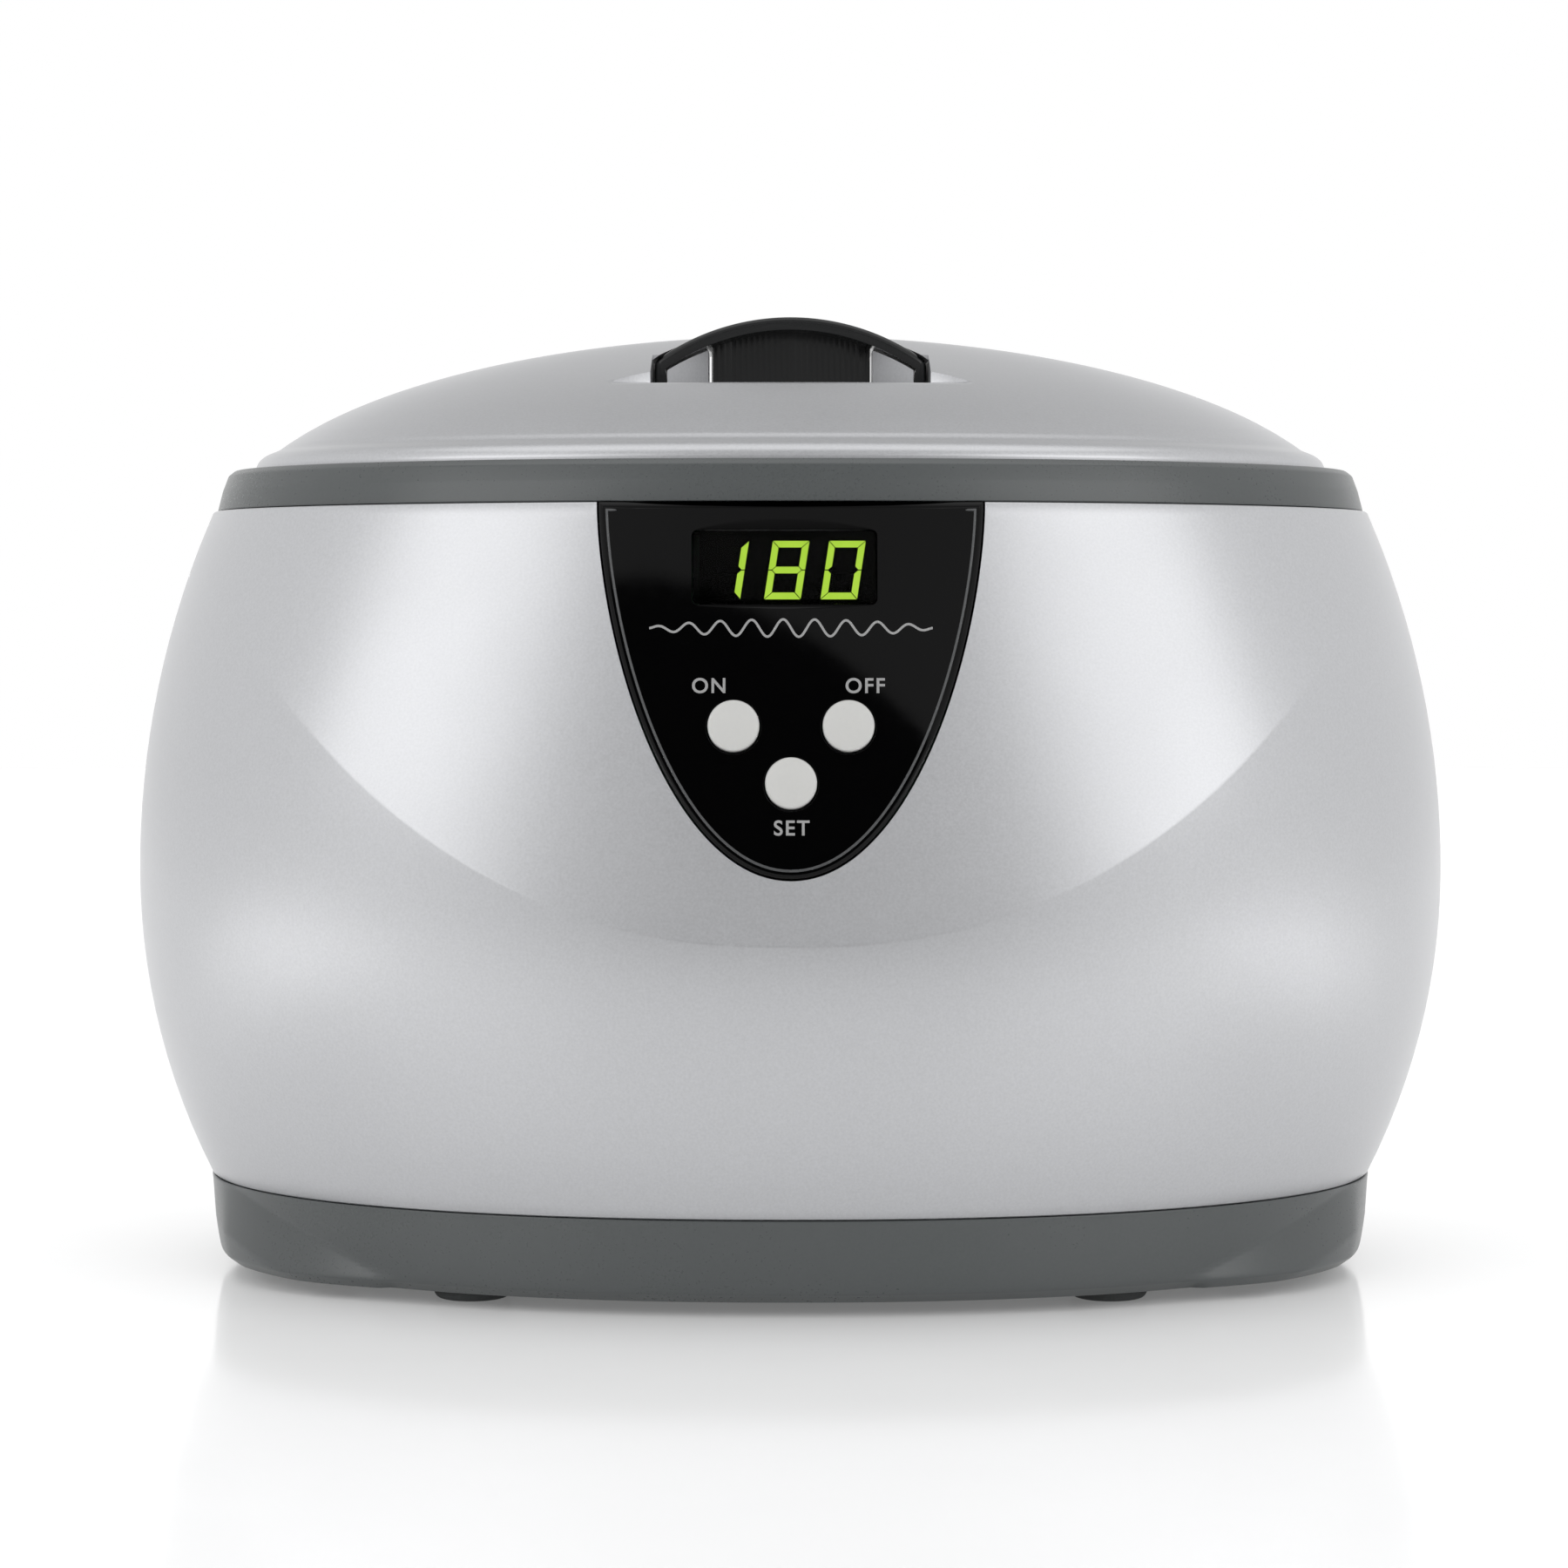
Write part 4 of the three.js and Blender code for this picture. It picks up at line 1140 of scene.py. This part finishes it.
def power_inlet():
    rear = Matrix.Translation((INLET_X, 0, INLET_Z)) @ REARWARD
    socket = rounded_box("inlet_body", (-11.8, -7.2, 59.4), (11.8, 7.2, 61.4), 1.4, rear)
    bevelled(socket, 0.3)
    add(socket, rounded_box("barrel", (-8.4, -5, 44), (8.4, 5, 60), 1.2, rear))
    half = PIN_SPREAD / 2
    tools = [prism("waist", [(-half, -3.1), (half, -3.1), (half, 3.1), (-half, 3.1)], 49.5, 70, rear)]
    for side in (-1, 1):
        tools.append(prism("lobe", circle(3.9, (side * half, 0)), 49.5, 70, rear))
        tools.append(prism("shaft", circle(1.5, (side * half, 0)), 40, 55, rear))
    cut(socket, *tools)
    place(socket, "base", "black_moulding", BLACK_PLASTIC, "power_inlet")
    for name, side in (("left", -1), ("right", 1)):
        here = rear @ Matrix.Translation((side * half, 0, 0))
        profile = filleted([(0, 41.5), (1.2, 41.5), (1.2, 58.5), (0, 58.5)], 0.7)
        pin = turned(f"pin_{name}", profile, here, 32)
        place(pin, "base", "nickel_pin", NICKEL, f"inlet_pin_{name}")


# ---------------------------------------------------------------- CAD nodes that stay


KEPT = {
    RUBBER: ["tank_gasket"],
    ALUMINIUM: ["transducer_front_mass", "heatsink"],
    COPPER: ["electrode_upper", "electrode_lower", "resonance_inductor"],
    CERAMIC: ["piezo_ring_upper", "piezo_ring_lower"],
    ZINC: ["transducer_back_mass", "transducer_bolt", "fuse", "panel_screw_left", "panel_screw_right"],
    BOARD: ["display_board", "driver_board"],
    BLACK_PLASTIC: [
        "on_switch", "off_switch", "set_switch", "power_transistor_left", "power_transistor_right",
    ],
    FERRITE: ["ferrite_transformer"],
    SLEEVE: ["electrolytic_capacitor"],
    FILM_CASE: ["film_capacitor_large", "film_capacitor_small"],
    WIRE: [
        "mains_wire_live", "mains_wire_neutral", "transducer_wire_hot", "transducer_wire_ground",
    ],
    RIBBON: ["display_ribbon"],
}


def kept_nodes():
    for material, names in KEPT.items():
        for name in names:
            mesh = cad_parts[name].data
            mesh.materials.clear()
            mesh.materials.append(material)


# ---------------------------------------------------------------- studio


def camera():
    data = bpy.data.cameras.new("camera")
    data.lens = CAMERA_LENS
    data.sensor_width = 36.0
    data.clip_start = 0.05
    obj = bpy.data.objects.new("camera", data)
    obj.location = CAMERA_PLACE
    obj.rotation_euler = (math.radians(90 - CAMERA_DOWN), 0, 0)
    bpy.context.scene.collection.objects.link(obj)
    bpy.context.scene.camera = obj


def softbox(name, place_at, aim, width, height, power, spread=180.0):
    data = bpy.data.lights.new(name, "AREA")
    data.shape = "RECTANGLE"
    data.size = width
    data.size_y = height
    data.energy = power
    data.spread = math.radians(spread)
    obj = bpy.data.objects.new(name, data)
    obj.location = place_at
    direction = Vector(aim) - Vector(place_at)
    obj.rotation_euler = direction.to_track_quat("-Z", "Y").to_euler()
    bpy.context.scene.collection.objects.link(obj)


def figure(nodes, links, operation, *values):
    """A Math node worked out from sockets and plain numbers."""
    node = nodes.new("ShaderNodeMath")
    node.operation = operation
    for socket, value in zip(node.inputs, values):
        if isinstance(value, (int, float)):
            socket.default_value = value
        else:
            links.new(value, socket)
    return node.outputs["Value"]


def ramp(nodes, links, value, low, high):
    """Rises from 0 to 1 as the value goes from low to high, and stays between them."""
    span = nodes.new("ShaderNodeMapRange")
    span.interpolation_type = "SMOOTHSTEP"
    span.inputs["From Min"].default_value = low
    span.inputs["From Max"].default_value = high
    links.new(value, span.inputs["Value"])
    return span.outputs["Result"]


def room_light():
    """A white room; its reflections also show the dim side behind the camera and a dark strip."""
    world = bpy.data.worlds.new("world")
    bpy.context.scene.world = world
    world.use_nodes = True
    nodes, links = world.node_tree.nodes, world.node_tree.links
    background = nodes["Background"]
    background.inputs["Color"].default_value = (1, 1, 1, 1)
    coordinate = nodes.new("ShaderNodeTexCoord")
    split = nodes.new("ShaderNodeSeparateXYZ")
    links.new(coordinate.outputs["Generated"], split.inputs["Vector"])
    x, y, z = (split.outputs[axis] for axis in "XYZ")

    def calc(operation, *values):
        return figure(nodes, links, operation, *values)

    towards = calc("MAXIMUM", calc("MULTIPLY", y, -1.0), 0.0)
    level = calc("MULTIPLY", y, -math.cos(FRONT_LOW))
    below = calc("MULTIPLY", z, -math.sin(FRONT_LOW))
    facing = calc("MAXIMUM", calc("ADD", level, below), 0.0)
    dim = calc("MULTIPLY", calc("POWER", facing, FRONT_NARROW), FRONT_DIP)
    sideways = calc("SUBTRACT", 1.0, calc("MULTIPLY", calc("ABSOLUTE", x), HIGH_FADE))
    centred = calc("MAXIMUM", sideways, 0.0)
    raised = ramp(nodes, links, z, HIGH_FROM, HIGH_FULL)
    high = calc("MULTIPLY", raised, calc("MULTIPLY", centred, HIGH_DIP))
    room = calc("SUBTRACT", calc("SUBTRACT", 1.0, dim), high)
    tilted = calc("ADD", z, calc("MULTIPLY", x, STRIP_TILT))
    entered = ramp(nodes, links, tilted, STRIP_LOW - STRIP_SOFT, STRIP_LOW)
    left = ramp(nodes, links, tilted, STRIP_TOP - STRIP_CRISP, STRIP_TOP + STRIP_CRISP)
    inside = calc("MULTIPLY", entered, calc("SUBTRACT", 1.0, left))
    ahead = ramp(nodes, links, towards, AHEAD_FROM, AHEAD_FULL)
    strip = calc("MULTIPLY", calc("MULTIPLY", inside, ahead), STRIP_DARK)
    glossy = calc("MULTIPLY", room, calc("SUBTRACT", 1.0, strip))

    path = nodes.new("ShaderNodeLightPath")
    shown = nodes.new("ShaderNodeMix")
    links.new(glossy, shown.inputs["A"])
    shown.inputs["B"].default_value = 1.0
    links.new(path.outputs["Is Camera Ray"], shown.inputs["Factor"])
    links.new(shown.outputs["Result"], background.inputs["Strength"])


def studio():
    centre = (0, 0, 0.08)
    for name, side in (("left", -1), ("right", 1)):
        softbox(f"{name}_box", (side * SIDE_X, SIDE_Y, SIDE_Z), centre, 0.9, 0.9, SIDE_POWER)
        above, below = (side * LOW_X, LOW_Y, LOW_Z), (side * LOW_X, LOW_Y, 0)
        softbox(f"{name}_floor_box", above, below, 0.12, 0.2, LOW_POWER, LOW_SPREAD)
    softbox("top_box", (0, -0.1, 1.5), centre, 1.6, 1.2, TOP_POWER)
    edge = [(x, y + FLOOR_BACK / MM) for x, y in circle(FLOOR_RADIUS / MM, count=64)]
    rings = [[(x, y, 0) for x, y in edge], [(x, y, 0) for x, y in circle(0.01, count=64)]]
    floor = loft("floor", rings, False)
    floor.data.materials.append(FLOOR)
    room_light()
    bpy.context.scene.view_settings.view_transform = "Standard"


camera()
housing()
rim_ring()
base_tray()
feet()
tank()
basket()
control_panel()
panel_bead()
display_window()
led_display()
for key_name, key_place in KEYS.items():
    key(key_name, key_place)
label("ON", -11.75, 92.05)
label("OFF", 10.6, 92.05)
label("SET", 0.1, 71.9)
wave_line()
lid()
grip()
power_inlet()
kept_nodes()
studio()
